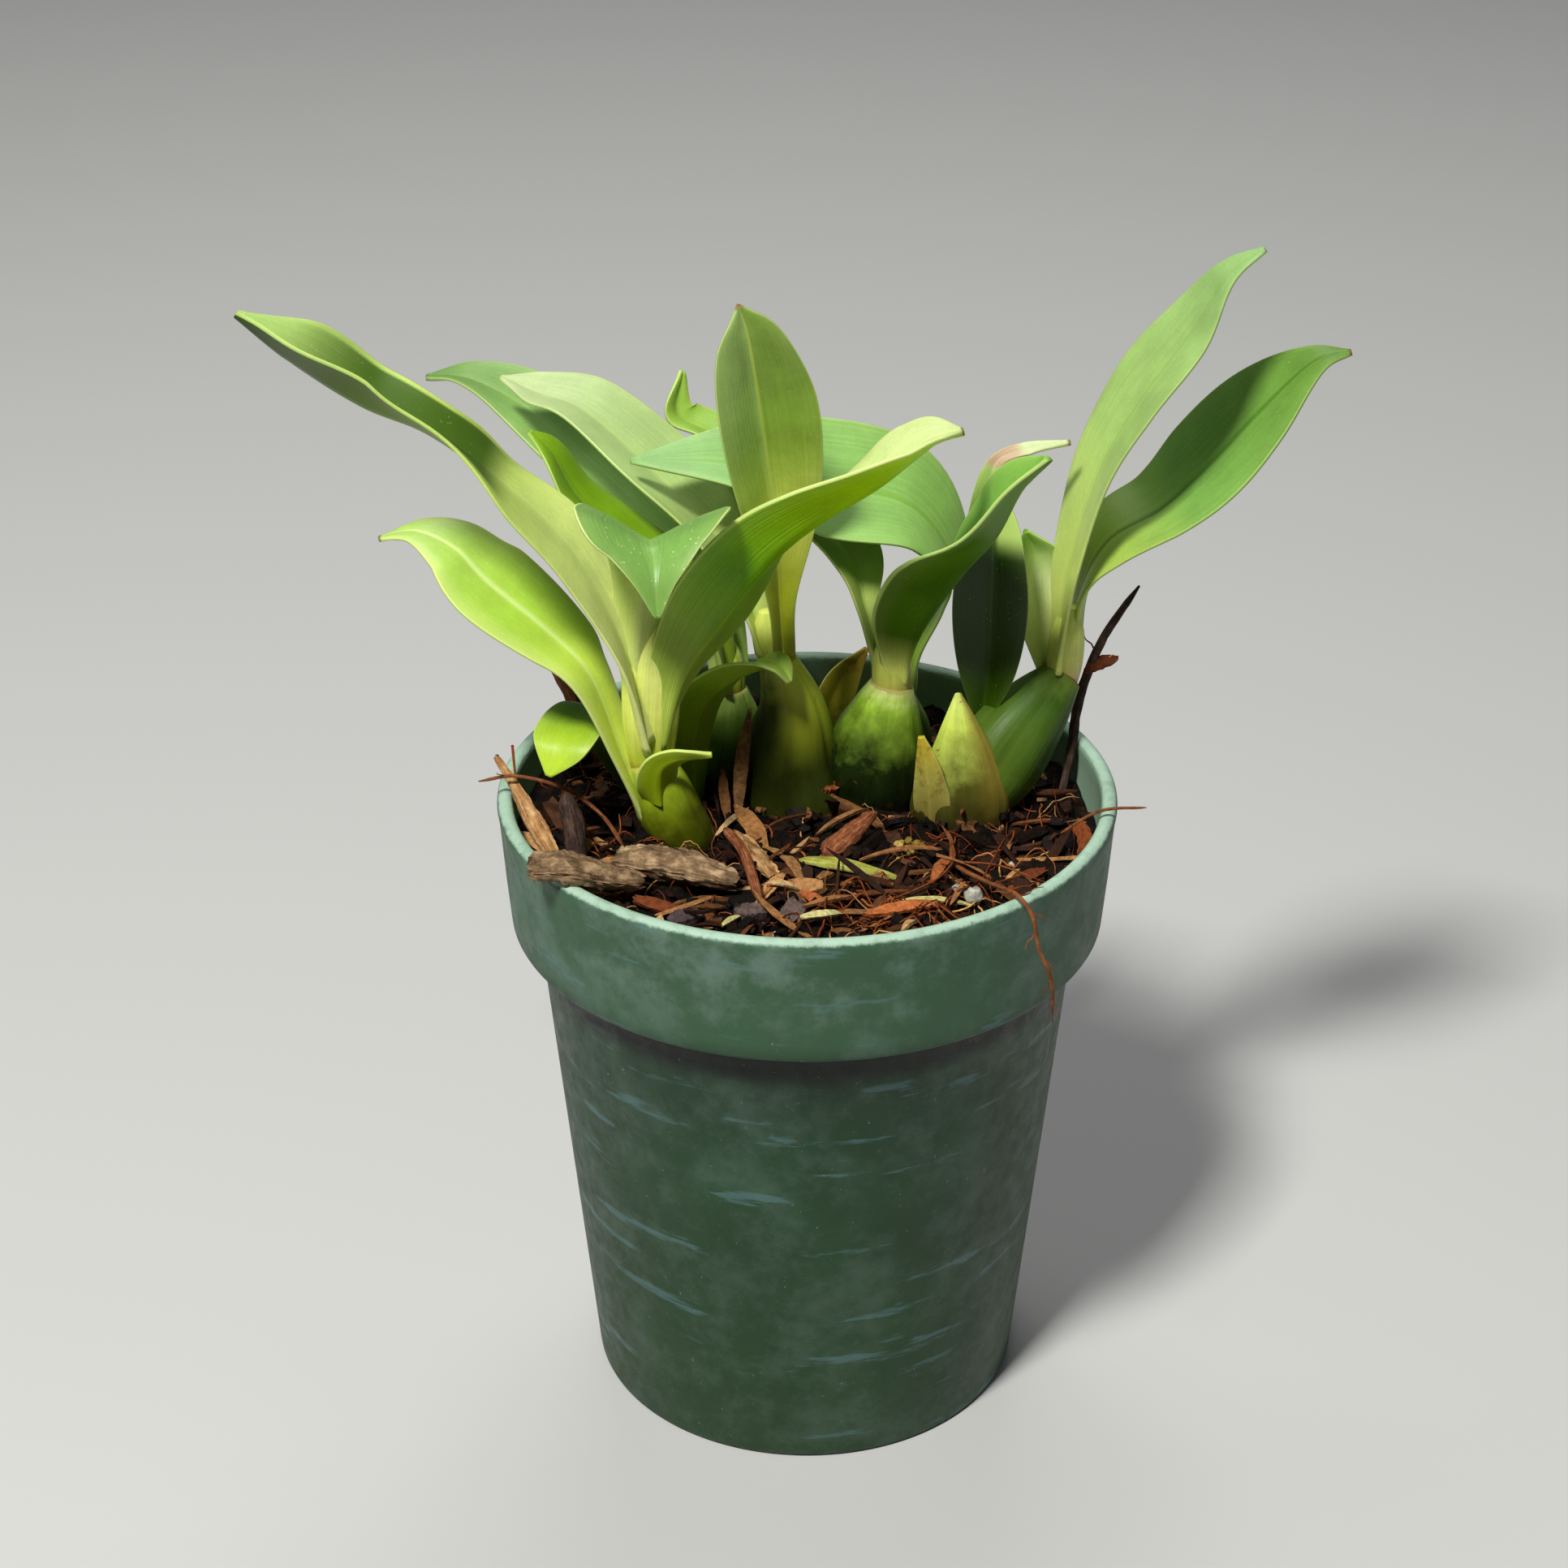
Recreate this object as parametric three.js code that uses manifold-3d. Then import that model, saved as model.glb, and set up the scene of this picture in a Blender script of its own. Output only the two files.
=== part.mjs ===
// A potted orchid: a tapered plastic nursery pot of potting mix with a clump of bulbs and folded leaves.
// Millimetres, +Z up. The origin is the middle of the pot's flat underside; the front is -Y.

import * as THREE from "three";
import { mergeVertices } from "three/addons/utils/BufferGeometryUtils.js";
import Module from "manifold-3d";

// Driving dimensions

const POT_HEIGHT = 82.5;
const RIM_RADIUS = 38;
const BAND_HEIGHT = 17;
const BAND_FOOT_RADIUS = 36.8;
const NECK_RADIUS = 33.5;
const BASE_RADIUS = 27.5;
const WALL = 1.5;
const POT_SIDES = 40;
const DRAIN_HOLES = 6;
const DRAIN_RADIUS = 3;
const DRAIN_CIRCLE = 19;

const GAP = 0.3;
const MIX_LEVEL = 76.5;

const BLADE_THICK = 0.85;
const BLADE_EDGE = 0.62;
const BLADE_STEPS = 12;
const BLADE_CELLS = 4;

// Colours as seen on the plant

const LOOKS = {
  pot: { color: 0x3c5a4c, roughness: 0.55, metalness: 0 },
  mix: { color: 0x2b1c14, roughness: 0.95, metalness: 0 },
  leaf: { color: 0x6f9f3a, roughness: 0.45, metalness: 0 },
  paleLeaf: { color: 0xa3c163, roughness: 0.5, metalness: 0 },
  bulb: { color: 0x5c7a2c, roughness: 0.5, metalness: 0 },
  sheath: { color: 0xa8a552, roughness: 0.6, metalness: 0 },
  dry: { color: 0x8a5f3c, roughness: 0.85, metalness: 0 },
  bark: { color: 0x6b5447, roughness: 0.9, metalness: 0 },
  dark: { color: 0x33261f, roughness: 0.9, metalness: 0 },
  straw: { color: 0xb09a4a, roughness: 0.7, metalness: 0 },
};

// Leaves
// Each row of a leaf is a station on its midrib, from base to tip: x, y, z, half width, roll in degrees.
// head is the direction the leaf grows in, turned from +X towards +Y. fold is the slope of its two halves,
// and a sixth number in a row is the slope there.
// look is its colour, and by lists what it is trimmed clear of.

const LEAVES = {
  leaf_a1: {
    head: 180, fold: 0.25, look: "paleLeaf", by: ["bulb_a"],
    rows: [[-20, -5, 90, 2.8, 20], [-22, -6, 104, 4.6, 22], [-27.5, -6.5, 116.5, 6.3, 15, 0.2],
      [-34.8, -6.6, 124.8, 7.2, 1, 0.15], [-43, -6.6, 131.5, 4.8, 4, 0.7], [-50.7, -5.5, 134.6, 7, -8, 0.85],
      [-58.7, -4, 139.4, 5.8, 8, 1.1], [-64.9, -2, 144, 0.4, 0, 1]],
  },
  leaf_a2: {
    head: 165, fold: 0.2, look: "paleLeaf", by: ["bulb_a", "leaf_a1"],
    rows: [[-19.8, -4.5, 79.5, 1.6, 15], [-22.7, -5.5, 89.5, 2.4, 12], [-26, -5, 99.5, 4.5, 5],
      [-30.5, -3, 104, 7, 5], [-38, -1, 110, 7.5, 12], [-42, 1, 113.5, 5.5, 10],
      [-46.5, 2.5, 115, 2.6, 10], [-51, 3, 114, 0.4, 0]],
  },
  leaf_a3: {
    head: -10, fold: 0.75, look: "paleLeaf", by: ["bulb_a", "leaf_a1", "leaf_a2"],
    rows: [[-17.6, -6, 90.5, 2.6, 38], [-15, -7, 100.5, 4.7, 58], [-10.5, -8, 108, 7.2, 55],
      [-4.5, -9, 116.5, 7.5, 40], [1, -10, 122, 6.8, 27], [7.5, -10.5, 126.5, 6.3, 10],
      [12, -10, 130, 5, -10], [14.5, -9.5, 131.7, 3.5, -15], [17.5, -9, 132.5, 0.4, -10]],
  },
  leaf_a4: {
    head: -90, fold: 0.66, look: "leaf", by: ["bulb_a", "leaf_a1", "leaf_a3"],
    rows: [[-19, -7, 92, 1.8, 0], [-20.3, -6, 102, 3, 0], [-19, -7.5, 113, 5, 0],
      [-18.3, -11, 119.4, 8.2, 2], [-17.8, -14.9, 120.8, 10.6, 2], [-17.4, -17.3, 119.9, 6.2, 0],
      [-17.2, -19.2, 117.9, 2.7, -3], [-17, -20.6, 114.7, 0.4, -6]],
  },
  sheath_a: {
    head: -20, fold: 0.3, look: "paleLeaf", by: ["bulb_a"],
    rows: [[-17.9, -7.6, 83.9, 2.6, 50], [-18, -8.3, 87, 3.2, 50], [-17.4, -8.8, 89.8, 3, 50],
      [-15.6, -9.2, 91.3, 2.4, 48], [-13.1, -9.4, 91.8, 1.8, 40], [-10.7, -9.4, 92, 0.4, 40]],
  },
  leaf_b1: {
    head: 90, fold: 0.75, look: "leaf", by: ["bulb_b"],
    rows: [[-3, 4.7, 98, 2, -10], [-3.5, 3.7, 106, 2.3, -20], [-4, 2, 117, 5.5, -23],
      [-5, 0.7, 126, 7.2, -23], [-6, -0.5, 134, 7.4, -20], [-7, -1.5, 141.3, 5, -12],
      [-8, -2, 145, 0.4, -15]],
  },
  leaf_b2: {
    head: 150, fold: 0.44, look: "paleLeaf", by: ["bulb_b", "leaf_b1"],
    rows: [[-5.8, 6, 97.5, 2.2, 8], [-7.2, 6.8, 103.5, 3, 5], [-11, 9, 111.5, 6, 0],
      [-18.5, 13, 118, 7.5, 0], [-27, 18, 124, 6.5, 0], [-33, 20.5, 125.5, 4, 5],
      [-37.5, 22, 127, 0.4, 0]],
  },
  leaf_b3: {
    head: -20, fold: 0.47, look: "leaf", by: ["bulb_b"],
    rows: [[-13.8, 5.5, 75.6, 1.9, 45], [-14.2, 5, 81.1, 2.6, 50], [-14.1, 4, 87, 3.2, 50],
      [-12.8, 2.7, 92.1, 3.4, 46], [-9.9, 1.2, 95.9, 3.1, 38], [-6.4, 0, 98.3, 2.9, 20],
      [-3.8, -1, 99, 2.5, 0], [-2.2, -2, 97.3, 0.4, -10]],
  },
  leaf_c1: {
    head: -20, fold: 0.9, look: "leaf", by: ["bulb_c"],
    rows: [[11.6, 6, 93.5, 2, 15], [12.3, 5, 97.5, 4, 28], [14, 2, 103.5, 7, 28],
      [18, -1, 111.5, 8.4, 12], [21.5, -5, 118, 6.8, -5], [24, -9, 125.5, 4, -18],
      [27, -12, 130.5, 0.4, -20]],
  },
  leaf_c2: {
    head: 130, fold: 0.6, look: "leaf", by: ["bulb_c", "leaf_c1"],
    rows: [[8.8, 8, 93.5, 1.9, -5], [6.8, 9.5, 102, 2.2, -5], [4.5, 12, 108, 5, -5],
      [-4, 17, 114, 5.5, -5], [-11, 22, 119, 3.5, 0], [-16, 24, 121.5, 2.6, 5],
      [-15.5, 26, 126.5, 0.4, 0]],
  },
  leaf_d1: {
    head: 20, fold: 0.34, look: "paleLeaf", by: ["bulb_d"],
    rows: [[31.3, 10.3, 93, 1.9, 5], [31.7, 10.8, 99.5, 2.6, 5], [32.5, 11, 107.5, 4.4, 5],
      [35.5, 11, 119.5, 6.6, 8], [40, 11, 128.5, 7.4, 5], [45.5, 11, 137, 5.4, -3],
      [49, 10.5, 144, 2.6, 0], [53, 10, 147.5, 0.4, -8]],
  },
  leaf_d2: {
    head: 15, fold: 0.25, look: "leaf", by: ["bulb_d", "leaf_d1"],
    rows: [[33.6, 12, 92.5, 1.9, 10], [34, 12.7, 102, 2.6, 12], [37, 13.2, 109, 6, -5],
      [43.5, 14, 113, 8.6, 0], [49, 14.5, 118.5, 9.2, -5], [54.5, 15, 125, 7.8, -8],
      [60.5, 15, 131.5, 3, -12], [65, 15, 133, 0.4, -10]],
  },
  leaf_d3: {
    head: 100, fold: 0.6, look: "paleLeaf", by: ["bulb_d", "leaf_d1", "leaf_d2"],
    rows: [[30, 12.8, 91.5, 1.9, 0], [29, 14, 97.5, 3, 0], [28.2, 15, 102.5, 3.9, 0],
      [28.1, 15.5, 106.5, 3.2, 0], [26.8, 14.5, 110, 0.4, 0]],
  },
  leaf_d4: {
    head: 80, fold: 0.5, look: "leaf", by: ["bulb_d"],
    rows: [[22, 9.5, 87.5, 1.9, 0], [22.5, 9.5, 94.5, 4.4, 0], [22.5, 9.5, 103, 5.2, -3],
      [22.5, 9.5, 112, 4.2, 0], [21.7, 9.5, 117.5, 2.8, 0], [22.3, 10, 121, 1.9, 0],
      [26.5, 10.5, 122.5, 1.7, 5], [31.5, 11, 123, 0.4, 0]],
  },
  leaf_e1: {
    head: 185, fold: 0.35, look: "leaf", by: ["bulb_e"],
    rows: [[12, 17.8, 86.4, 1.9, 10], [13.6, 18, 92.5, 2.2, 11], [16.6, 18.2, 99, 4, 15],
      [17.5, 18, 105, 6.5, 20], [11.8, 16, 113, 9.3, 25], [0.5, 12.2, 117, 9.2, 30],
      [-9.5, 8.4, 121.2, 5.6, 20], [-21, 6, 122.7, 0.4, 20]],
  },
  leaf_f1: {
    head: 150, fold: 0.44, look: "leaf", by: ["bulb_f"],
    rows: [[-9.2, 13.3, 90.5, 2, 0], [-10.2, 13.8, 99, 2.6, 0], [-13.5, 15.5, 105.5, 4, 0],
      [-20, 18.5, 110, 6.5, 3], [-27.5, 23, 115.5, 7.5, 5], [-35, 27, 121, 6.2, 8],
      [-42, 29, 124, 3.5, 3], [-47.5, 30, 124, 0.4, 3]],
  },
  leaf_f2: {
    head: 150, fold: 0.3, look: "paleLeaf", by: ["bulb_f", "leaf_f1"],
    rows: [[-10.4, 10.5, 90.5, 1.8, -5], [-11.5, 9, 99.5, 2.6, -5], [-15.5, 7.5, 107, 4, -5],
      [-22.5, 8, 112, 5.6, -10], [-28, 10, 116.5, 4.6, -13], [-31, 11.5, 121.5, 2.9, -10],
      [-33.5, 12, 124, 0.4, -5]],
  },
  leaf_g1: {
    head: 255, fold: 0.2, look: "paleLeaf", by: ["leaf_a2"],
    rows: [[-18.5, 5.5, 73.5, 1.6, 0], [-25.8, 5.5, 83.7, 2.2, 0], [-26.8, 4.5, 89.1, 3.2, 0],
      [-27.8, 1.5, 92.8, 4, 0], [-28.7, -3.5, 92.9, 4.3, 0], [-29.7, -6.8, 91.5, 3.6, 0],
      [-31, -8.5, 88.1, 0.4, 0]],
  },
  sheath_c: {
    head: 250, fold: 0.3, look: "sheath", by: ["bulb_c", "sheath_e"],
    rows: [[13.7, 1, 74, 1.6, 0], [13.9, 0.5, 79.5, 1.9, 0], [13.9, 0.6, 84.5, 1.5, 0],
      [13.8, 1.2, 88.4, 0.4, 0]],
  },
  old_sheath: {
    head: 100, fold: 0.5, look: "sheath", by: ["bulb_b", "bulb_c"],
    rows: [[1.5, 16.5, 74, 2.2, 0], [2.2, 17, 82, 2.6, 0], [4.5, 17, 88.5, 2.4, 10],
      [7.5, 16.5, 93, 0.4, 15]],
  },
};

// Bulbs
// Each row is a station on the bulb's axis, from its foot in the mix to its neck: x, y, z, radius.
// flat squeezes the section, and ribs raises its lengthwise ridges.

const BULBS = {
  bulb_a: {
    look: "paleLeaf", flat: 0.9, ribs: 0.03, by: [],
    rows: [[-13.6, -4.2, 72, 1.8], [-14.4, -4.3, 77, 3.2], [-16.5, -4.6, 80.8, 3.8],
      [-17.8, -4.9, 84.9, 3.4], [-18.9, -5, 88.3, 2.5]],
  },
  bulb_b: {
    look: "bulb", flat: 0.92, ribs: 0.06, by: [],
    rows: [[-1.6, 9, 70.5, 2.6], [-1.6, 8.6, 75.9, 7.2], [-2, 7.8, 83, 5.8], [-1.9, 6.5, 90.2, 3.9],
      [-3.6, 5.3, 96.9, 2.2]],
  },
  bulb_c: {
    look: "bulb", flat: 0.92, ribs: 0.05, by: ["bulb_b"],
    rows: [[8.8, 9.2, 70.5, 2.5], [8.5, 8.9, 75.5, 5.8], [8.7, 8, 82.9, 6.3], [9.8, 7.2, 89.3, 4.2],
      [10.4, 7, 92.6, 2.7]],
  },
  bulb_d: {
    look: "bulb", flat: 0.9, ribs: 0.05, by: ["bulb_c"],
    rows: [[18.5, 6.5, 71.5, 2.2], [20.8, 6.9, 77.5, 4.8], [24.8, 7.8, 83, 5.6],
      [29.2, 9.6, 88.5, 4.2], [32.1, 11.2, 91.9, 2.4]],
  },
  sheath_e: {
    look: "sheath", flat: 0.8, ribs: 0.04, by: ["bulb_c", "bulb_d"],
    rows: [[17.6, 4.5, 72, 1.6], [18.4, 3.2, 77.5, 4], [18.8, 3, 83.5, 3.8], [19, 3.8, 88.8, 2.1],
      [19, 4.7, 92.3, 0.5]],
  },
  bulb_e: {
    look: "bulb", flat: 0.9, ribs: 0.05, by: ["bulb_c"],
    rows: [[11.5, 19.2, 70.5, 2], [11.6, 19.1, 76, 4.2], [11.7, 18.8, 81, 4], [11.9, 17.8, 85.6, 2]],
  },
  bulb_f: {
    look: "bulb", flat: 0.9, ribs: 0.05, by: ["bulb_b"],
    rows: [[-10.9, 14.6, 70.5, 2], [-10.8, 14.3, 77, 4.9], [-10.2, 13, 84, 4.6], [-9.8, 12, 89.8, 2.3]],
  },
};

// Pieces of bark, sticks, straw and bare roots that lie on the mix or stand in it
// Each row is a station: x, y, z, half width, half thickness.

const DEBRIS = {
  bark_slab_left: {
    look: "bark", rough: 0.12, face: 20,
    rows: [[-32.3, -24.2, 84.7, 1.7, 0.9], [-28.5, -24, 84.5, 1.9, 1], [-24, -23.2, 83, 1.8, 1],
      [-19.5, -22.2, 81.6, 1, 0.8]],
  },
  bark_slab_front: {
    look: "bark", rough: 0.12, face: 25,
    rows: [[-22.8, -16, 81, 1.4, 0.8], [-18.5, -16.8, 81.2, 2, 1], [-13.5, -18.3, 81, 1.9, 1],
      [-8.5, -20.3, 80.3, 1.1, 0.8]],
  },
  stick_dark: {
    look: "dark", rough: 0.1, face: 0,
    rows: [[-27.6, -12.5, 74, 1.3, 1.2], [-28, -10.5, 81, 1.4, 1.2], [-29, -8.8, 86, 1.1, 1]],
  },
  stick_back: {
    look: "dry", rough: 0.1, face: 0,
    rows: [[-25.5, 18, 74, 1.2, 1], [-28.6, 17.5, 84, 1.3, 1.1], [-32.6, 17.5, 92.5, 0.9, 0.8]],
  },
  twig_right: {
    look: "dark", rough: 0.1, face: 0,
    rows: [[31.8, 7.5, 75.6, 0.8, 0.8], [33.2, 10.5, 81.5, 0.9, 0.9], [34.3, 13.5, 87.7, 1, 1],
      [36.8, 15, 94.6, 0.9, 0.9], [41.3, 15.8, 102, 0.7, 0.7]],
  },
  straw_front: {
    look: "straw", rough: 0, face: 10,
    rows: [[-1, -11.6, 78.4, 0.5, 0.4], [4, -14.2, 79.3, 1.1, 0.5], [11, -15, 77.7, 0.5, 0.4]],
  },
  chip_red: {
    look: "dry", rough: 0.1, face: 35,
    rows: [[2, -9.8, 78.1, 1.3, 0.6], [5.5, -6.3, 79.3, 1.3, 0.6], [8.5, -3.5, 80.5, 0.5, 0.5]],
  },
  chip_tan: {
    look: "bark", rough: 0.1, face: -30,
    rows: [[-8.6, -8.5, 80.2, 0.8, 0.6], [-6.3, -13, 80, 1.7, 0.7], [-4, -17.3, 79.3, 1, 0.6]],
  },
  stick_red: {
    look: "dry", rough: 0.06, face: 0,
    rows: [[-10, -8.6, 81, 0.6, 0.6], [-7.6, -16, 81.8, 0.65, 0.65], [-5.6, -24.5, 80.2, 0.6, 0.6]],
  },
  splinter_left: {
    look: "straw", rough: 0.05, face: 0,
    rows: [[-38.3, 3.4, 84.4, 0.4, 0.4], [-35.7, -2.2, 83.4, 0.6, 0.5], [-33, -6.6, 80.6, 1.1, 0.6],
      [-30.6, -11.2, 78.8, 0.8, 0.5]],
  },
  root_left: {
    look: "dry", rough: 0, face: 0,
    rows: [[-40, -3.2, 84.6, 0.4, 0.4], [-35.2, -2.8, 85.1, 0.4, 0.4], [-29.1, -4.3, 84, 0.45, 0.45],
      [-24.8, -5.6, 81, 0.45, 0.45], [-22.3, -8, 78.2, 0.5, 0.5]],
  },
  root_right: {
    look: "dry", rough: 0, face: 0,
    rows: [[16.6, -3, 78.2, 0.5, 0.5], [17.4, -8, 79, 0.5, 0.5], [17.5, -14, 79.3, 0.5, 0.5],
      [20.5, -19.5, 80.2, 0.5, 0.5], [22.4, -25.6, 82.6, 0.45, 0.45], [24, -29.1, 83.6, 0.45, 0.45],
      [25.6, -30.9, 81.9, 0.45, 0.45], [26.4, -31.6, 78.2, 0.4, 0.4], [28, -31.8, 73.8, 0.4, 0.4],
      [28.4, -31.4, 67.8, 0.3, 0.3]],
  },
  fibre_right: {
    look: "dry", rough: 0, face: 0,
    rows: [[30.5, -9, 80.6, 0.4, 0.35], [35.2, -8.5, 83.4, 0.4, 0.35], [40.8, -8.2, 83.7, 0.3, 0.3]],
  },
};

// Shared helpers

const wasm = await Module();
wasm.setup();

const radians = (degrees) => (degrees * Math.PI) / 180;

function solidOf(geometry) {
  const plain = geometry.clone();
  plain.deleteAttribute("normal");
  plain.deleteAttribute("uv");
  const merged = mergeVertices(plain, 1e-4);
  return new wasm.Manifold(
    new wasm.Mesh({
      numProp: 3,
      vertProperties: new Float32Array(merged.attributes.position.array),
      triVerts: new Uint32Array(merged.index.array),
    }),
  );
}

function largestBody(solid) {
  const bodies = solid.decompose();
  return bodies.reduce((best, body) => (body.volume() > best.volume() ? body : best));
}

function geometryOf(solid) {
  const mesh = solid.getMesh();
  const geometry = new THREE.BufferGeometry();
  geometry.setAttribute("position", new THREE.BufferAttribute(new Float32Array(mesh.vertProperties), 3));
  geometry.setIndex(new THREE.BufferAttribute(new Uint32Array(mesh.triVerts), 1));
  geometry.computeVertexNormals();
  return geometry;
}

function closedGeometry(vertices, faces) {
  const geometry = new THREE.BufferGeometry();
  const numbers = vertices.flatMap((v) => [v.x, v.y, v.z]);
  geometry.setAttribute("position", new THREE.Float32BufferAttribute(numbers, 3));
  geometry.setIndex(faces.flat());
  return geometry;
}

function seededRandom(seed) {
  let state = seed;
  return () => {
    state = (state * 16807) % 2147483647;
    return state / 2147483647;
  };
}

function curveOf(rows, from) {
  const points = rows.map((row) => new THREE.Vector3(row[from], row[from + 1], row[from + 2] ?? 0));
  return new THREE.CatmullRomCurve3(points, false, "catmullrom", 0.5);
}

// A leaf blade: two halves folded along the midrib, thickest there and thin at the margins

function bladeFrame(leaf, rib, shape, u) {
  const point = rib.getPoint(u);
  const ahead = rib.getPoint(Math.min(u + 0.004, 1)).sub(rib.getPoint(Math.max(u - 0.004, 0))).normalize();
  const head = radians(leaf.head);
  const side = new THREE.Vector3(Math.sin(head), -Math.cos(head), 0);
  const level = side.addScaledVector(ahead, -side.dot(ahead)).normalize();
  const up = new THREE.Vector3().crossVectors(level, ahead);
  const { x: half, y: roll, z: fold } = shape.getPoint(u);
  const c = Math.cos(radians(roll));
  const s = Math.sin(radians(roll));
  const across = level.clone().multiplyScalar(c).addScaledVector(up, s);
  const normal = up.clone().multiplyScalar(c).addScaledVector(level, -s);
  return { point, ahead, across, normal, half: Math.max(half, 0.3), slope: Math.atan(fold) };
}

function bladeSolid(leaf, grow = 0) {
  const rib = curveOf(leaf.rows, 0);
  const shape = curveOf(leaf.rows.map((row) => [row[3], row[4], row[5] ?? leaf.fold]), 0);
  const count = BLADE_CELLS + 1;
  const vertices = [];
  for (const face of [1, -1]) {
    for (let i = 0; i <= BLADE_STEPS; i++) {
      const f = bladeFrame(leaf, rib, shape, i / BLADE_STEPS);
      const end = i === 0 ? -grow : i === BLADE_STEPS ? grow : 0;
      for (let j = 0; j < count; j++) {
        const s = (2 * j) / BLADE_CELLS - 1;
        const edge = Math.abs(s);
        const thick = (BLADE_THICK + (BLADE_EDGE - BLADE_THICK) * edge) / 2 + grow;
        const wide = s * (f.half * Math.cos(f.slope) + grow);
        const fold = f.half * (edge * Math.sin(f.slope) - 0.1 * edge * edge);
        const rise = fold + (face * thick) / Math.cos(f.slope);
        const vertex = f.point.clone().addScaledVector(f.across, wide).addScaledVector(f.normal, rise);
        vertices.push(vertex.addScaledVector(f.ahead, end));
      }
    }
  }
  const faces = [];
  const under = (BLADE_STEPS + 1) * count;
  for (let i = 0; i < BLADE_STEPS; i++) {
    for (let j = 0; j < BLADE_CELLS; j++) {
      const a = i * count + j;
      const [b, c, d] = [a + 1, a + count, a + count + 1];
      faces.push([a, b, d], [a, d, c]);
      faces.push([under + a, under + d, under + b], [under + a, under + c, under + d]);
    }
    const [l, m] = [i * count, (i + 1) * count];
    faces.push([l, m, under + m], [l, under + m, under + l]);
    const [r, q] = [l + BLADE_CELLS, m + BLADE_CELLS];
    faces.push([r, under + q, q], [r, under + r, under + q]);
  }
  for (let j = 0; j < BLADE_CELLS; j++) {
    const e = BLADE_STEPS * count + j;
    faces.push([j, under + j, under + j + 1], [j, under + j + 1, j + 1]);
    faces.push([e, e + 1, under + e + 1], [e, under + e + 1, under + e]);
  }
  return solidOf(closedGeometry(vertices, faces));
}

// A bulb: rings about a bent axis with rounded ends and lengthwise ridges

function bulbSolid(bulb, grow = 0) {
  const axis = curveOf(bulb.rows, 0);
  const size = curveOf(bulb.rows.map((row) => [row[3], 0, 0]), 0);
  const rings = 10;
  const sides = 18;
  const vertices = [];
  const ends = [];
  for (const [u, way] of [[0, -1], [1, 1]]) {
    const ahead = axis.getTangent(u);
    ends.push(axis.getPoint(u).addScaledVector(ahead, way * (size.getPoint(u).x * 0.3 + grow)));
  }
  for (let i = 0; i <= rings; i++) {
    const u = i / rings;
    const point = axis.getPoint(u);
    const ahead = axis.getTangent(u);
    const across = new THREE.Vector3(1, 0, 0).addScaledVector(ahead, -ahead.x).normalize();
    const other = new THREE.Vector3().crossVectors(ahead, across);
    for (let k = 0; k < sides; k++) {
      const angle = (2 * Math.PI * k) / sides;
      const radius = size.getPoint(u).x * (1 + bulb.ribs * Math.cos(6 * angle)) + grow;
      const vertex = point.clone().addScaledVector(across, radius * Math.cos(angle));
      vertices.push(vertex.addScaledVector(other, bulb.flat * radius * Math.sin(angle)));
    }
  }
  const faces = [];
  const [foot, neck] = [vertices.push(ends[0]) - 1, vertices.push(ends[1]) - 1];
  for (let k = 0; k < sides; k++) {
    const n = (k + 1) % sides;
    for (let i = 0; i < rings; i++) {
      const [a, b] = [i * sides + k, i * sides + n];
      faces.push([a, b, b + sides], [a, b + sides, a + sides]);
    }
    faces.push([foot, n, k], [neck, rings * sides + k, rings * sides + n]);
  }
  return solidOf(closedGeometry(vertices, faces));
}

// Bark, sticks and roots: a rough six-sided section swept along a bent path

function stickSolid(piece, seed, grow = 0) {
  const path = curveOf(piece.rows, 0);
  const size = curveOf(piece.rows.map((row) => [row[3], row[4], 0]), 0);
  const random = seededRandom(seed);
  const steps = 2 * (piece.rows.length - 1) + 2;
  const sides = 6;
  const vertices = [];
  const start = path.getTangent(0);
  let level = Math.abs(start.z) > 0.9 ? new THREE.Vector3(1, 0, 0) : new THREE.Vector3(-start.y, start.x, 0);
  for (let i = 0; i <= steps; i++) {
    const u = i / steps;
    const ahead = path.getTangent(u);
    const end = i === 0 ? -grow : i === steps ? grow : 0;
    const point = path.getPoint(u).addScaledVector(ahead, end);
    level = level.clone().addScaledVector(ahead, -level.dot(ahead)).normalize();
    const up = new THREE.Vector3().crossVectors(ahead, level);
    const turn = radians(piece.face);
    const across = level.clone().multiplyScalar(Math.cos(turn)).addScaledVector(up, Math.sin(turn));
    const normal = up.clone().multiplyScalar(Math.cos(turn)).addScaledVector(level, -Math.sin(turn));
    const { x: wide, y: thick } = size.getPoint(u);
    for (let k = 0; k < sides; k++) {
      const angle = (2 * Math.PI * (k + 0.5)) / sides;
      const bump = 1 + piece.rough * (2 * random() - 1);
      const [x, y] = [(wide * bump + grow) * Math.cos(angle), (thick * bump + grow) * Math.sin(angle)];
      vertices.push(point.clone().addScaledVector(across, x).addScaledVector(normal, y));
    }
  }
  const faces = [];
  for (let k = 0; k < sides; k++) {
    const n = (k + 1) % sides;
    for (let i = 0; i < steps; i++) {
      const [a, b] = [i * sides + k, i * sides + n];
      faces.push([a, b, b + sides], [a, b + sides, a + sides]);
    }
    if (k > 0 && n > 0) {
      faces.push([0, n, k], [steps * sides, steps * sides + k, steps * sides + n]);
    }
  }
  return solidOf(closedGeometry(vertices, faces));
}

// The pot: a tapered cup with a stepped band under a rounded lip, and drain holes in its floor

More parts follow.
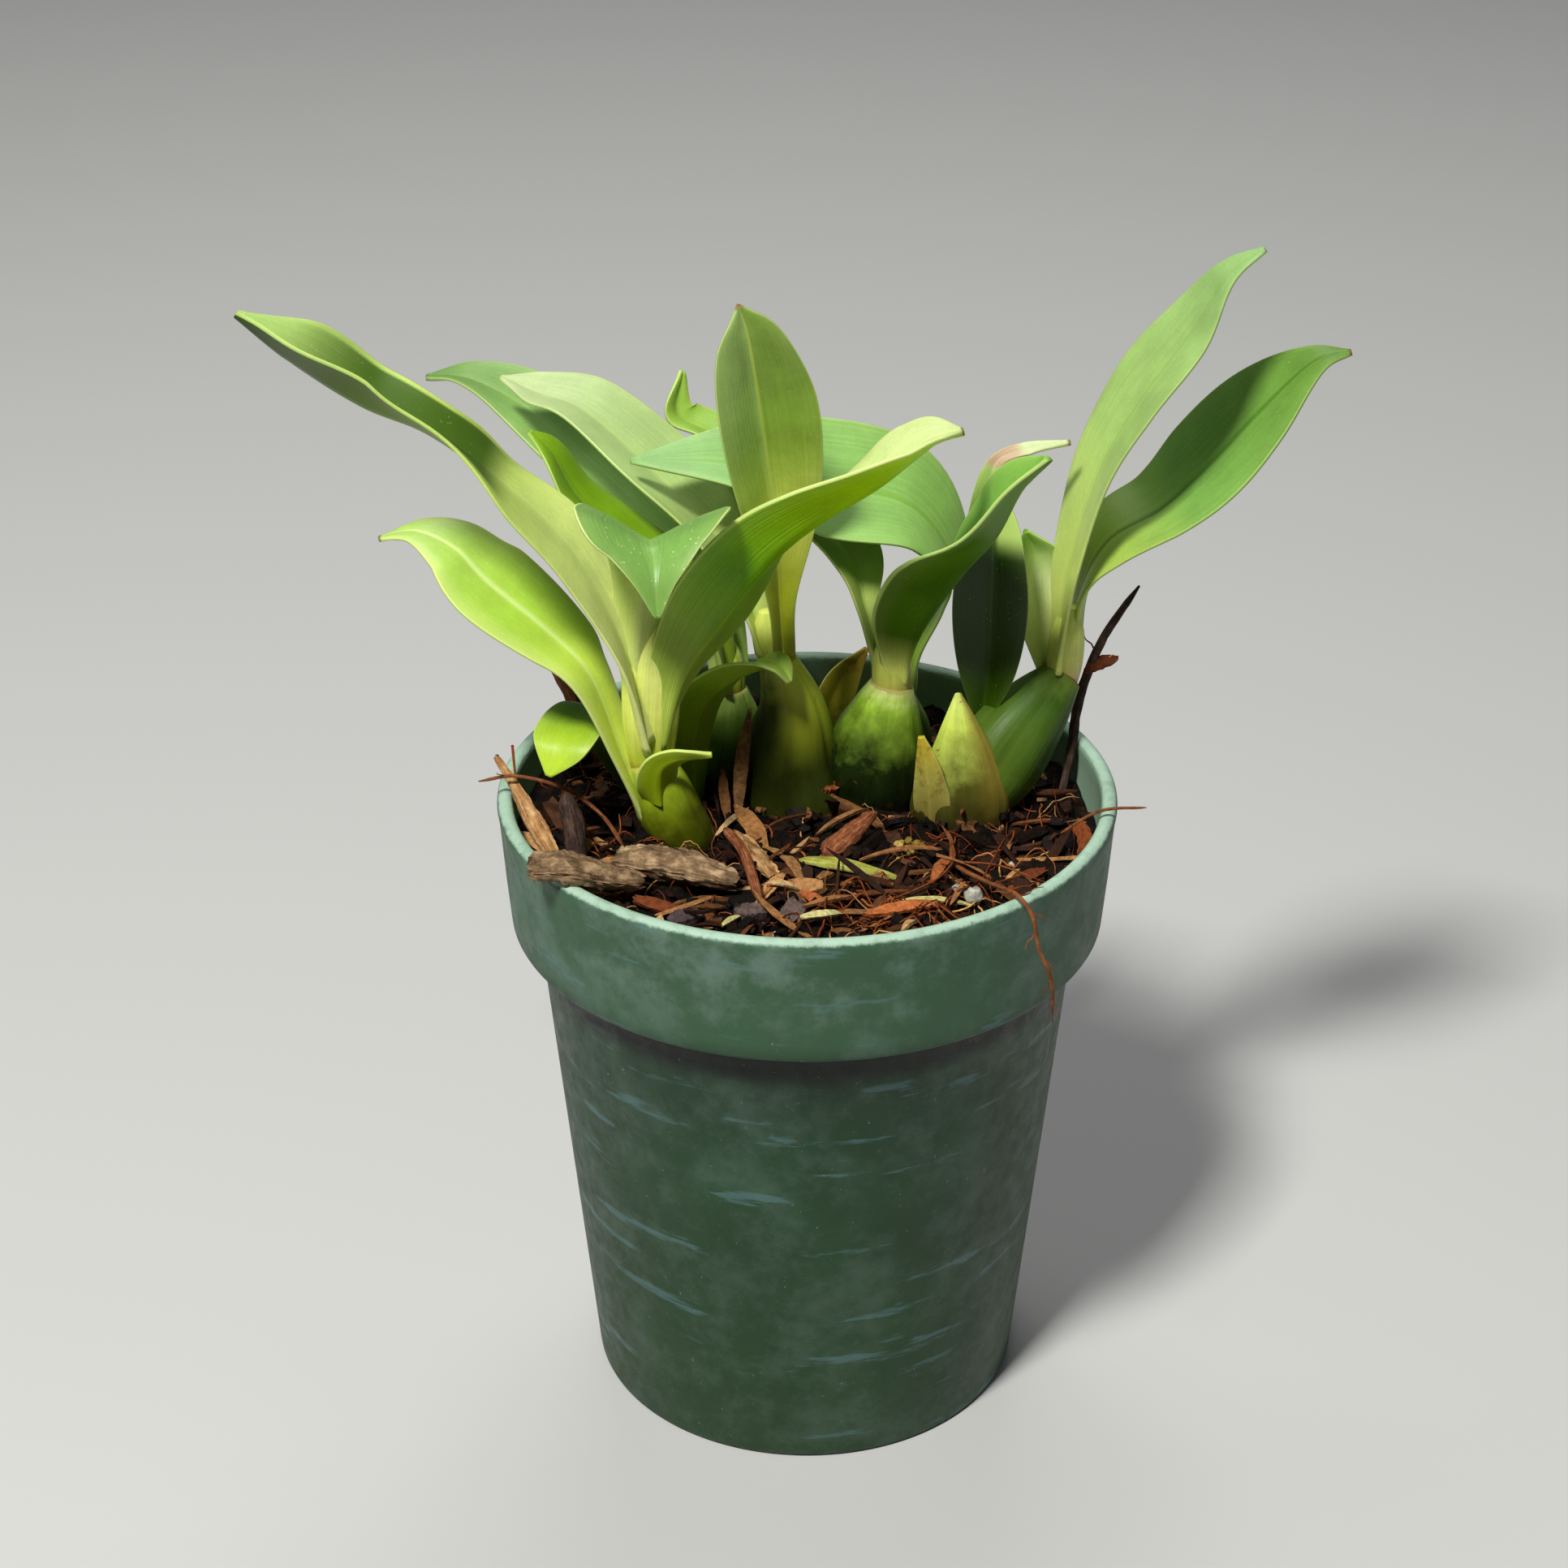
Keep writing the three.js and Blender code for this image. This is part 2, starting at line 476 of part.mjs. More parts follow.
function potSolid() {
  const bandZ = POT_HEIGHT - BAND_HEIGHT;
  const innerRim = RIM_RADIUS - 2;
  const profile = [
    [0, 0], [BASE_RADIUS - 0.8, 0], [BASE_RADIUS, 0.8],
    [NECK_RADIUS, bandZ - 1.2], [NECK_RADIUS + 0.8, bandZ - 0.3],
    [BAND_FOOT_RADIUS - 0.9, bandZ], [BAND_FOOT_RADIUS, bandZ + 0.9],
    [RIM_RADIUS - 0.2, POT_HEIGHT - 2.4], [RIM_RADIUS, POT_HEIGHT - 1],
    [RIM_RADIUS - 0.3, POT_HEIGHT - 0.3], [RIM_RADIUS - 1, POT_HEIGHT], [innerRim + 0.3, POT_HEIGHT - 0.3],
    [innerRim, POT_HEIGHT - 1], [innerRim + 0.3, POT_HEIGHT - 2.4],
    [BAND_FOOT_RADIUS - WALL, bandZ + 2], [NECK_RADIUS - WALL, bandZ - 1.6],
    [BASE_RADIUS - WALL + 0.1, WALL + 0.6], [BASE_RADIUS - WALL - 0.6, WALL], [0, WALL],
  ].map(([r, z]) => new THREE.Vector2(r, z));
  let pot = solidOf(new THREE.LatheGeometry(profile, POT_SIDES).rotateX(Math.PI / 2));
  for (let i = 0; i < DRAIN_HOLES; i++) {
    const turn = (2 * Math.PI * i) / DRAIN_HOLES;
    const hole = new THREE.CylinderGeometry(DRAIN_RADIUS, DRAIN_RADIUS, 4 * WALL, 12).rotateX(Math.PI / 2);
    hole.translate(DRAIN_CIRCLE * Math.cos(turn), DRAIN_CIRCLE * Math.sin(turn), WALL / 2);
    pot = pot.subtract(solidOf(hole));
  }
  return pot;
}

// The potting mix: a plug that fills the pot, uneven on top, with chips and fibres grown into its surface

function mixTop(x, y) {
  const r = Math.hypot(x, y) / (RIM_RADIUS - 3);
  const broad = 0.7 * Math.sin(0.55 * x + 1.3) * Math.cos(0.48 * y);
  const fine = 0.5 * Math.sin(0.9 * x - 0.7 * y + 2) + 0.4 * Math.cos(1.1 * y + 0.6 * x);
  const front = y < 0 ? 1.6 * Math.min(-y / 30, 1) : 0;
  const hollow = 2.2 * Math.exp(-((x - 27) ** 2 + (y + 4) ** 2) / 90);
  return MIX_LEVEL + (broad + fine + front - hollow) * (1 - 0.35 * r ** 6);
}

function mixPlug() {
  const rings = 11;
  const sides = 36;
  const bandZ = POT_HEIGHT - BAND_HEIGHT;
  const topRadius = RIM_RADIUS - 2 - GAP - 0.6;
  const vertices = [new THREE.Vector3(0, 0, mixTop(0, 0))];
  for (let i = 1; i <= rings; i++) {
    for (let k = 0; k < sides; k++) {
      const turn = (2 * Math.PI * (k + (i % 2) * 0.5)) / sides;
      const [x, y] = [(topRadius * i * Math.cos(turn)) / rings, (topRadius * i * Math.sin(turn)) / rings];
      vertices.push(new THREE.Vector3(x, y, mixTop(x, y)));
    }
  }
  const walls = [
    [BAND_FOOT_RADIUS - WALL - GAP - 0.1, bandZ + 2.2], [NECK_RADIUS - WALL - GAP - 0.1, bandZ - 1.4],
    [BASE_RADIUS - WALL - GAP - 0.1, WALL + GAP + 0.8], [BASE_RADIUS - WALL - GAP - 0.9, WALL + GAP],
  ];
  for (const [radius, z] of walls) {
    for (let k = 0; k < sides; k++) {
      const turn = (2 * Math.PI * (k + (rings % 2) * 0.5)) / sides;
      vertices.push(new THREE.Vector3(radius * Math.cos(turn), radius * Math.sin(turn), z));
    }
  }
  const bottom = vertices.push(new THREE.Vector3(0, 0, WALL + GAP)) - 1;
  const faces = [];
  const last = 1 + (rings + walls.length - 1) * sides;
  for (let k = 0; k < sides; k++) {
    const n = (k + 1) % sides;
    faces.push([0, 1 + k, 1 + n], [bottom, last + n, last + k]);
    for (let i = 1; i < rings; i++) {
      const [a, b] = [1 + (i - 1) * sides, 1 + i * sides];
      if (i % 2) faces.push([a + k, b + k, b + n], [a + k, b + n, a + n]);
      else faces.push([a + k, b + k, a + n], [a + n, b + k, b + n]);
    }
    for (let i = rings; i < rings + walls.length; i++) {
      const [a, b] = [1 + (i - 1) * sides, 1 + i * sides];
      faces.push([a + k, b + k, b + n], [a + k, b + n, a + n]);
    }
  }
  return solidOf(closedGeometry(vertices, faces));
}

function mixChips() {
  const random = seededRandom(41);
  let chips = null;
  for (let i = 0; i < 46; i++) {
    const turn = 2 * Math.PI * random();
    const reach = 33 * Math.sqrt(random());
    const long = 1.6 + 4.2 * random();
    const wide = 0.8 + 1.4 * random();
    const thick = 0.7 + 0.8 * random();
    const [x, y] = [reach * Math.cos(turn), reach * Math.sin(turn)];
    const chip = new THREE.BoxGeometry(long, wide, thick);
    chip.rotateX(0.9 * (random() - 0.5)).rotateY(1.1 * (random() - 0.5)).rotateZ(Math.PI * random());
    const inward = Math.min(1, (33.4 - long / 2) / Math.max(reach, 1));
    chip.translate(x * inward, y * inward, mixTop(x * inward, y * inward) + 0.25 * thick);
    const solid = solidOf(chip);
    chips = chips ? chips.add(solid) : solid;
  }
  return chips;
}

// Build the solids, each trimmed clear of what it grows from

const solids = {};
const grown = {};

for (const [name, bulb] of Object.entries(BULBS)) {
  let body = bulbSolid(bulb);
  for (const other of bulb.by) body = body.subtract(grown[other]);
  solids[name] = largestBody(body);
  grown[name] = bulbSolid(bulb, GAP);
}

for (const [name, leaf] of Object.entries(LEAVES)) {
  let body = bladeSolid(leaf);
  for (const other of leaf.by) body = body.subtract(grown[other]);
  solids[name] = largestBody(body);
  grown[name] = bladeSolid(leaf, GAP);
}

Object.entries(DEBRIS).forEach(([name, piece], i) => {
  solids[name] = stickSolid(piece, 11 + i);
  grown[name] = stickSolid(piece, 11 + i, GAP);
});

solids.pot = potSolid();

let mix = mixPlug().add(mixChips());
for (const body of Object.values(grown)) mix = mix.subtract(body);
solids.potting_mix = largestBody(mix);

// The scene graph

function lookOf(name) {
  if (name === "pot") return LOOKS.pot;
  if (name === "potting_mix") return LOOKS.mix;
  return LOOKS[{ ...LEAVES, ...BULBS, ...DEBRIS }[name].look];
}

const plant = new THREE.Group();
for (const [name, solid] of Object.entries(solids)) {
  const mesh = new THREE.Mesh(geometryOf(solid), new THREE.MeshStandardMaterial(lookOf(name)));
  mesh.name = name;
  plant.add(mesh);
}

export default plant;
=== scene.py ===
# A potted orchid, dressed for its portrait: fine blades, ribbed bulbs, a worn nursery pot and a bed of bark.
# Tables are in millimetres, in the part's own frame: +Z up, the front towards -Y, the origin under the pot.

import math
import random

import bpy
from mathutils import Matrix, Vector, noise


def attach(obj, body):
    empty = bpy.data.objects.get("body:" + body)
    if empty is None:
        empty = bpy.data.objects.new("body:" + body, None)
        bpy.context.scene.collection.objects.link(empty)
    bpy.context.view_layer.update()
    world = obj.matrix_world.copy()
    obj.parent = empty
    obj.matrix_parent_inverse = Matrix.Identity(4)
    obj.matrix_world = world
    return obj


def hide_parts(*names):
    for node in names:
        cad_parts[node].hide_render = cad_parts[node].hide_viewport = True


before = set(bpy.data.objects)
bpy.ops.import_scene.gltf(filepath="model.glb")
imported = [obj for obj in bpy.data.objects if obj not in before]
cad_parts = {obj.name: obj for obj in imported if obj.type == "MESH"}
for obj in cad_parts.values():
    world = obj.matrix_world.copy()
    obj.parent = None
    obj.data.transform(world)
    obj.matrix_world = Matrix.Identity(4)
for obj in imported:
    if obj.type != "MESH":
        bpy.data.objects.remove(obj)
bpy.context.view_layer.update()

MM = 0.001
TURN = 2 * math.pi

# The pot, as the solids have it

POT_HEIGHT = 82.5
RIM_RADIUS = 38
BAND_FOOT = 65.5
BAND_FOOT_RADIUS = 36.8
NECK_RADIUS = 33.5
BASE_RADIUS = 27.5
WALL = 1.5
DRAIN_HOLES = 6
DRAIN_RADIUS = 3
DRAIN_CIRCLE = 19
GAP = 0.3
MIX_LEVEL = 76.5

# The photograph's camera

LOOK_AT = (-2.84, 0, 82.52)
LOOK_DOWN = 28.21
DISTANCE = 398.5
LENS = 74.53

# Leaves
# Each row is a station on the midrib, from base to tip: x, y, z, half width, roll in degrees.
# head is the direction of growth, from +X towards +Y. gather is the slope of the stalk in degrees.
# fold is the slope of the two halves, and a sixth number in a row is the slope there.
# top and under are the colours of the two faces, at the foot, middle and tip or at the places in stops.
# rib is the colour, strength and width of the midrib's stripe.
# margin, pale_strip_and_sheen and specks are the strengths of the pale edge, of the pale strip inside it (a
# painted highlight on leaf_a2) and of the specks.
# veins and mottle are the strengths of the veins and the blotches. gloss is the shine, papery adds stains.
# painted_shading is a colour painted into the hollow of the upper face, painted shade on leaf_a1 and painted
# light on leaf_d4: its strength, its start and end across, and then along.
# halves are the colours of the two sides of the blade, the paler one painted light. dry is the withered
# stretch, and tip the colour of a dry tip.

PALE = (220, 234, 146)
BROWN = (128, 92, 50)
SPECK = (216, 230, 176)
WITHERED = [(0.3, (150, 100, 84)), (0.5, (196, 158, 130)), (0.7, (206, 196, 150))]

LEAVES = {
    "leaf_a1": dict(
        head=180, fold=0.25, slot="leaf_pale", margin=0.15, gloss=0.08,
        # Its dark fold colour is painted shade in the deep fold.
        painted_shading=((46, 80, 12), 0.92, 0.12, 0.96, 0.445, 0.92),
        # Its near-white foot is partly painted light, for light that shines through the stalk.
        top=[(238, 244, 160), (178, 204, 92), (158, 188, 104)],
        under=[(230, 238, 140), (112, 142, 36), (52, 78, 12)],
        rib=((206, 228, 140), 0.35, 0.12),
        rows=[(-20, -5, 90, 2.8, 20), (-22, -6, 104, 4.6, 22), (-27.5, -6.5, 116.5, 6.3, 15, 0.2),
              (-34.8, -6.6, 124.8, 7.2, 1, 0.15), (-43, -6.6, 131.5, 4.8, 4, 0.7),
              (-50.7, -5.5, 134.6, 7, -8, 0.85), (-58.7, -4, 139.4, 5.8, 8, 1.1),
              (-64.9, -2, 144, 0.4, 0, 1)]),
    "leaf_a2": dict(
        # Its strong pale strip is a painted highlight along the margin.
        head=165, fold=0.2, slot="leaf_pale", margin=0.5, pale_strip_and_sheen=0.8, veins=0.015, tip=BROWN,
        top=[(222, 234, 100), (172, 210, 72), (176, 208, 108)],
        under=[(206, 222, 90), (156, 200, 50), (160, 200, 80)],
        rib=((216, 236, 150), 0.7, 0.12),
        rows=[(-19.8, -4.5, 79.5, 1.6, 15), (-22.7, -5.5, 89.5, 2.4, 12), (-26, -5, 99.5, 4.5, 5),
              (-30.5, -3, 104, 7, 5), (-38, -1, 110, 7.5, 12), (-42, 1, 113.5, 5.5, 10),
              (-46.5, 2.5, 115, 2.6, 10), (-51, 3, 114, 0.4, 0)]),
    "leaf_a3": dict(
        head=-10, fold=0.75, slot="leaf_pale", margin=0.4, veins=0.08, gloss=0.15, tip=BROWN,
        stops=(0.08, 0.34, 0.7),
        top=[(204, 218, 96), (162, 198, 66), (202, 218, 144)],
        # The bright under face towards the tip is partly painted light, for light that shines through the
        # blade.
        under=[(166, 188, 74), (100, 156, 2), (192, 238, 4)],
        rib=((170, 200, 70), 0.3, 0.08),
        rows=[(-17.6, -6, 90.5, 2.6, 38), (-15, -7, 100.5, 4.7, 58), (-10.5, -8, 108, 7.2, 55),
              (-4.5, -9, 116.5, 7.5, 40), (1, -10, 122, 6.8, 27), (7.5, -10.5, 126.5, 6.3, 10),
              (12, -10, 130, 5, -10), (14.5, -9.5, 131.7, 3.5, -15), (17.5, -9, 132.5, 0.4, -10)]),
    "leaf_a4": dict(
        head=-90, fold=0.66, margin=0.8, pale_strip_and_sheen=0.1, specks=0.6,
        top=[(226, 234, 140), (114, 158, 74), (128, 170, 80)],
        under=[(226, 234, 140), (124, 164, 62), (124, 164, 62)],
        rib=((150, 188, 96), 0.35, 0.05),
        rows=[(-19, -7, 92, 1.8, 0), (-20.3, -6, 102, 3, 0), (-19, -7.5, 113, 5, 0),
              (-18.3, -11, 119.4, 8.2, 2), (-17.8, -14.9, 120.8, 10.6, 2), (-17.4, -17.3, 119.9, 6.2, 0),
              (-17.2, -19.2, 117.9, 2.7, -3), (-17, -20.6, 114.7, 0.4, -6)]),
    "sheath_a": dict(
        head=-20, fold=0.3, slot="leaf_pale", margin=0.5,
        top=[(150, 172, 20), (162, 190, 26), (196, 218, 80)],
        under=[(146, 168, 16), (158, 186, 22), (184, 208, 60)],
        rib=((184, 206, 70), 0.2, 0.1),
        rows=[(-17.9, -7.6, 83.9, 2.3, 50), (-18, -8.2, 87, 2.7, 50), (-17.4, -8.7, 89.4, 2.4, 50),
              (-15.8, -9.1, 90.7, 1.9, 48), (-13.6, -9.3, 91.2, 1.4, 40), (-11.4, -9.4, 91.5, 0.3, 40)]),
    "leaf_b1": dict(
        head=90, fold=0.75, margin=0.3, tip=BROWN, mottle=0.24, stops=(0.2, 0.38, 0.62, 0.95),
        top=[(152, 162, 26), (198, 206, 92), (134, 166, 62), (126, 160, 70)],
        under=[(180, 188, 40), (190, 196, 70), (150, 174, 50), (130, 160, 60)],
        # Its paler left side is painted light.
        halves=((156, 184, 106), (122, 150, 54)),
        rib=((196, 208, 84), 0.5, 0.06),
        rows=[(-3, 4.7, 98, 2, -10), (-3.5, 3.7, 106, 2.3, -20), (-4, 2, 117, 5.5, -23),
              (-5, 0.7, 126, 7.2, -23), (-6, -0.5, 134, 7.4, -20), (-7, -1.5, 141.3, 5, -12),
              (-8, -2, 145, 0.4, -15)]),
    "leaf_b2": dict(
        head=150, fold=0.44, slot="leaf_pale", margin=0.25,
        top=[(196, 210, 106), (166, 194, 118), (184, 202, 144)],
        under=[(190, 206, 90), (160, 188, 84), (176, 198, 104)],
        rib=((190, 210, 120), 0.4, 0.08),
        rows=[(-5.8, 6, 97.5, 2.2, 8), (-7.2, 6.8, 103.5, 3, 5), (-11, 9, 111.5, 6, 0),
              (-18.5, 13, 118, 7.5, 0), (-27, 18, 124, 6.5, 0), (-33, 20.5, 125.5, 4, 5),
              (-37.5, 22, 127, 0.4, 0)]),
    "leaf_b3": dict(
        head=-20, fold=0.47, margin=0.4,
        top=[(136, 164, 14), (158, 198, 50), (176, 206, 90)],
        under=[(128, 158, 10), (142, 178, 30), (160, 192, 60)],
        rib=((150, 184, 70), 0.3, 0.08),
        rows=[(-13.8, 5.5, 75.6, 1.9, 45), (-14.2, 5, 81.1, 2.6, 50), (-14.1, 4, 87, 3.2, 50),
              (-12.8, 2.7, 92.1, 3.4, 46), (-9.9, 1.2, 95.9, 3.1, 38), (-6.4, 0, 98.3, 2.9, 20),
              (-3.8, -1, 99, 2.5, 0), (-2.2, -2, 97.3, 0.4, -10)]),
    "leaf_c1": dict(
        head=-20, fold=0.9, margin=0.45, gloss=0.2, stops=(0.08, 0.27, 0.8),
        top=[(222, 232, 116), (124, 176, 72), (136, 186, 82)],
        under=[(222, 232, 116), (62, 100, 2), (84, 132, 8)],
        rib=((150, 192, 76), 0.3, 0.06),
        rows=[(11.6, 6, 93.5, 2, 15), (12.3, 5, 97.5, 4, 28), (14, 2, 103.5, 7, 28),
              (18, -1, 111.5, 8.4, 12), (21.5, -5, 118, 6.8, -5), (24, -9, 125.5, 4, -18),
              (27, -12, 130.5, 0.4, -20)]),
    "leaf_c2": dict(
        head=130, fold=0.6, margin=0.4,
        top=[(206, 218, 120), (104, 148, 44), (160, 196, 76)],
        under=[(200, 214, 110), (56, 88, 10), (126, 168, 44)],
        rib=((160, 194, 84), 0.3, 0.08),
        rows=[(8.8, 8, 93.5, 1.9, -5), (6.8, 9.5, 102, 2.2, -5), (4.5, 12, 108, 5, -5),
              (-4, 17, 114, 5.5, -5), (-11, 22, 119, 3.5, 0), (-16, 24, 121.5, 2.6, 5),
              (-15.5, 26, 126.5, 0.4, 0)]),
    "leaf_d1": dict(
        head=20, fold=0.34, slot="leaf_pale", margin=0.15, gather=30,
        top=[(230, 240, 120), (160, 192, 106), (142, 180, 108)],
        under=[(224, 236, 100), (146, 186, 50), (140, 180, 70)],
        rib=((126, 170, 50), 0.35, 0.05),
        rows=[(31.3, 10.3, 93, 1.9, 5), (31.7, 10.8, 99.5, 2.6, 5), (32.5, 11, 107.5, 4.4, 5),
              (35.5, 11, 119.5, 6.6, 8), (40, 11, 128.5, 7.4, 5), (45.5, 11, 137, 5.4, -3),
              (49, 10.5, 144, 2.6, 0), (53, 10, 147.5, 0.4, -8)]),
    "leaf_d2": dict(
        head=15, fold=0.25, margin=0.2, tip=BROWN, gather=32,
        top=[(196, 214, 90), (116, 162, 72), (96, 134, 46)],
        under=[(186, 206, 70), (104, 150, 40), (104, 144, 46)],
        rib=((62, 108, 20), 0.7, 0.1),
        rows=[(33.6, 12, 92.5, 1.9, 10), (34, 12.7, 102, 2.6, 12), (37, 13.2, 109, 6, -5),
              (43.5, 14, 113, 8.6, 0), (49, 14.5, 118.5, 9.2, -5), (54.5, 15, 125, 7.8, -8),
              (60.5, 15, 131.5, 3, -12), (65, 15, 133, 0.4, -10)]),
    "leaf_d3": dict(
        head=100, fold=0.6, slot="leaf_pale", margin=0.3,
        top=[(214, 226, 114), (208, 222, 148), (120, 164, 50)],
        under=[(214, 226, 114), (208, 222, 150), (110, 150, 40)],
        rib=((196, 214, 100), 0.2, 0.08),
        rows=[(30, 12.8, 91.5, 1.9, 0), (29, 14, 97.5, 3.2, 0), (28.2, 15, 102.5, 4.2, 0),
              (28.1, 15.5, 106.5, 3.4, 0), (26.8, 14.5, 110, 0.4, 0)]),
    "leaf_d4": dict(
        head=80, fold=0.5, margin=0.15, dry=(0.66, 0.8), tip=BROWN,
        # Its light patch on the right is painted light on the lit, folded margin.
        stops=(0.05, 0.42, 0.62, 0.86), painted_shading=((196, 226, 120), 0.95, 0.6, 1.2, 0.4, 0.68),
        top=[(50, 80, 2), (34, 66, 2), (160, 192, 90), (206, 222, 164)],
        under=[(56, 90, 2), (66, 108, 2), (160, 192, 90), (206, 222, 164)],
        rib=((80, 124, 24), 0.3, 0.06),
        rows=[(22, 9.5, 87.5, 1.9, 0), (22.5, 9.5, 94.5, 4.4, 0), (22.5, 9.5, 103, 5.2, -3),
              (22.5, 9.5, 112, 4, 0), (21.9, 9.5, 117.5, 2.1, 0), (22.6, 10, 121, 1, 0),
              (26.5, 10.5, 122.3, 1, 5), (31.5, 11, 123, 0.3, 0)]),
    "leaf_e1": dict(
        head=185, fold=0.35, margin=0.25,
        top=[(160, 200, 70), (148, 194, 96), (140, 182, 112)],
        under=[(150, 190, 50), (126, 172, 54), (118, 160, 50)],
        rib=((118, 168, 40), 0.5, 0.08),
        rows=[(12, 17.8, 86.4, 1.9, 10), (13.6, 18, 92.5, 2.2, 11), (16.6, 18.2, 99, 4, 15),
              (17.5, 18, 105, 6.5, 20), (11.8, 16, 113, 9.3, 25), (0.5, 12.2, 117, 9.2, 30),
              (-9.5, 8.4, 121.2, 5.6, 20), (-21, 6, 122.7, 0.4, 20)]),
    "leaf_f1": dict(
        head=150, fold=0.44, margin=0.3,
        top=[(170, 204, 96), (158, 202, 112), (104, 142, 68)],
        under=[(150, 186, 60), (112, 156, 56), (96, 136, 54)],
        rib=((160, 198, 100), 0.3, 0.08),
        rows=[(-9.2, 13.3, 90.5, 2, 0), (-10.2, 13.8, 99, 2.6, 0), (-13.5, 15.5, 105.5, 4, 0),
              (-20, 18.5, 110, 6.5, 3), (-27.5, 23, 115.5, 7.5, 5), (-35, 27, 121, 6.2, 8),
              (-42, 29, 124, 3.5, 3), (-47.5, 30, 124, 0.4, 3)]),
    "leaf_f2": dict(
        head=150, fold=0.3, slot="leaf_pale", margin=0.3,
        top=[(150, 180, 44), (120, 162, 26), (130, 172, 30)],
        under=[(150, 176, 44), (120, 156, 36), (124, 162, 30)],
        rib=((160, 190, 80), 0.3, 0.08),
        rows=[(-10.4, 10.5, 90.5, 1.8, -5), (-11.5, 9, 99.5, 2.6, -5), (-15.5, 7.5, 107, 4, -5),
              (-22.5, 8, 112, 5.6, -10), (-28, 10, 116.5, 4.6, -13), (-31, 11.5, 121.5, 2.9, -10),
              (-33.5, 12, 124, 0.4, -5)]),
    "leaf_g1": dict(
        head=255, fold=0.2, slot="leaf_pale", margin=0.5,
        top=[(70, 104, 8), (78, 122, 10), (182, 212, 50)],
        under=[(70, 100, 8), (90, 132, 16), (156, 194, 36)],
        rib=((150, 190, 50), 0.2, 0.08),
        rows=[(-18.5, 5.5, 73.5, 1.6, 0), (-24.6, 5.5, 83.7, 2, 0), (-25.4, 4.5, 88.8, 2.4, 0),
              (-26.6, 1.5, 92.2, 3.2, 0), (-28.2, -3.5, 92.4, 4.1, 0), (-29.6, -6.8, 91.2, 3.6, 0),
              (-31, -8.5, 88.1, 0.4, 0)]),
    "sheath_c": dict(
        head=250, fold=0.3, slot="old_leaf_sheath", margin=0.3, papery=True,
        top=[(104, 84, 40), (186, 180, 84), (206, 184, 54)],
        rib=((206, 194, 90), 0.2, 0.1),
        rows=[(15.5, 1.7, 74, 2.1, 0), (15.3, 1.4, 79.5, 2.5, 0), (14.7, 1.1, 84.5, 1.6, 0),
              (13.9, 1.3, 88.4, 0.4, 0)]),
    "old_sheath": dict(
        head=100, fold=0.5, slot="old_leaf_sheath", margin=0.3, papery=True,
        top=[(110, 120, 20), (176, 170, 44), (184, 150, 56)],
        rib=((180, 176, 70), 0.2, 0.1),
        rows=[(1.5, 16.5, 74, 2.2, 0), (2.2, 17, 82, 2.6, 0), (4.5, 17, 88.5, 2.4, 10),
              (7.5, 16.5, 93, 0.4, 15)]),
}

# Bulbs
# Each row is a station on the axis, from the foot in the mix to the neck: x, y, z, radius.
# skin is the colour at the foot, the middle, the shoulder and the neck, or at the places in stops.
# flat is the depth as a share of the width, and ribs the height of the ribs as a share of the radius.
# lit_side_and_stain is a side of another colour, painted light on bulb_b's lit shoulder and a brown stain on
# sheath_e: where it faces in degrees, its colour and the height where it starts.
# gloss is the shine, coat the strength of the wax and flecks that of the brown flecks.

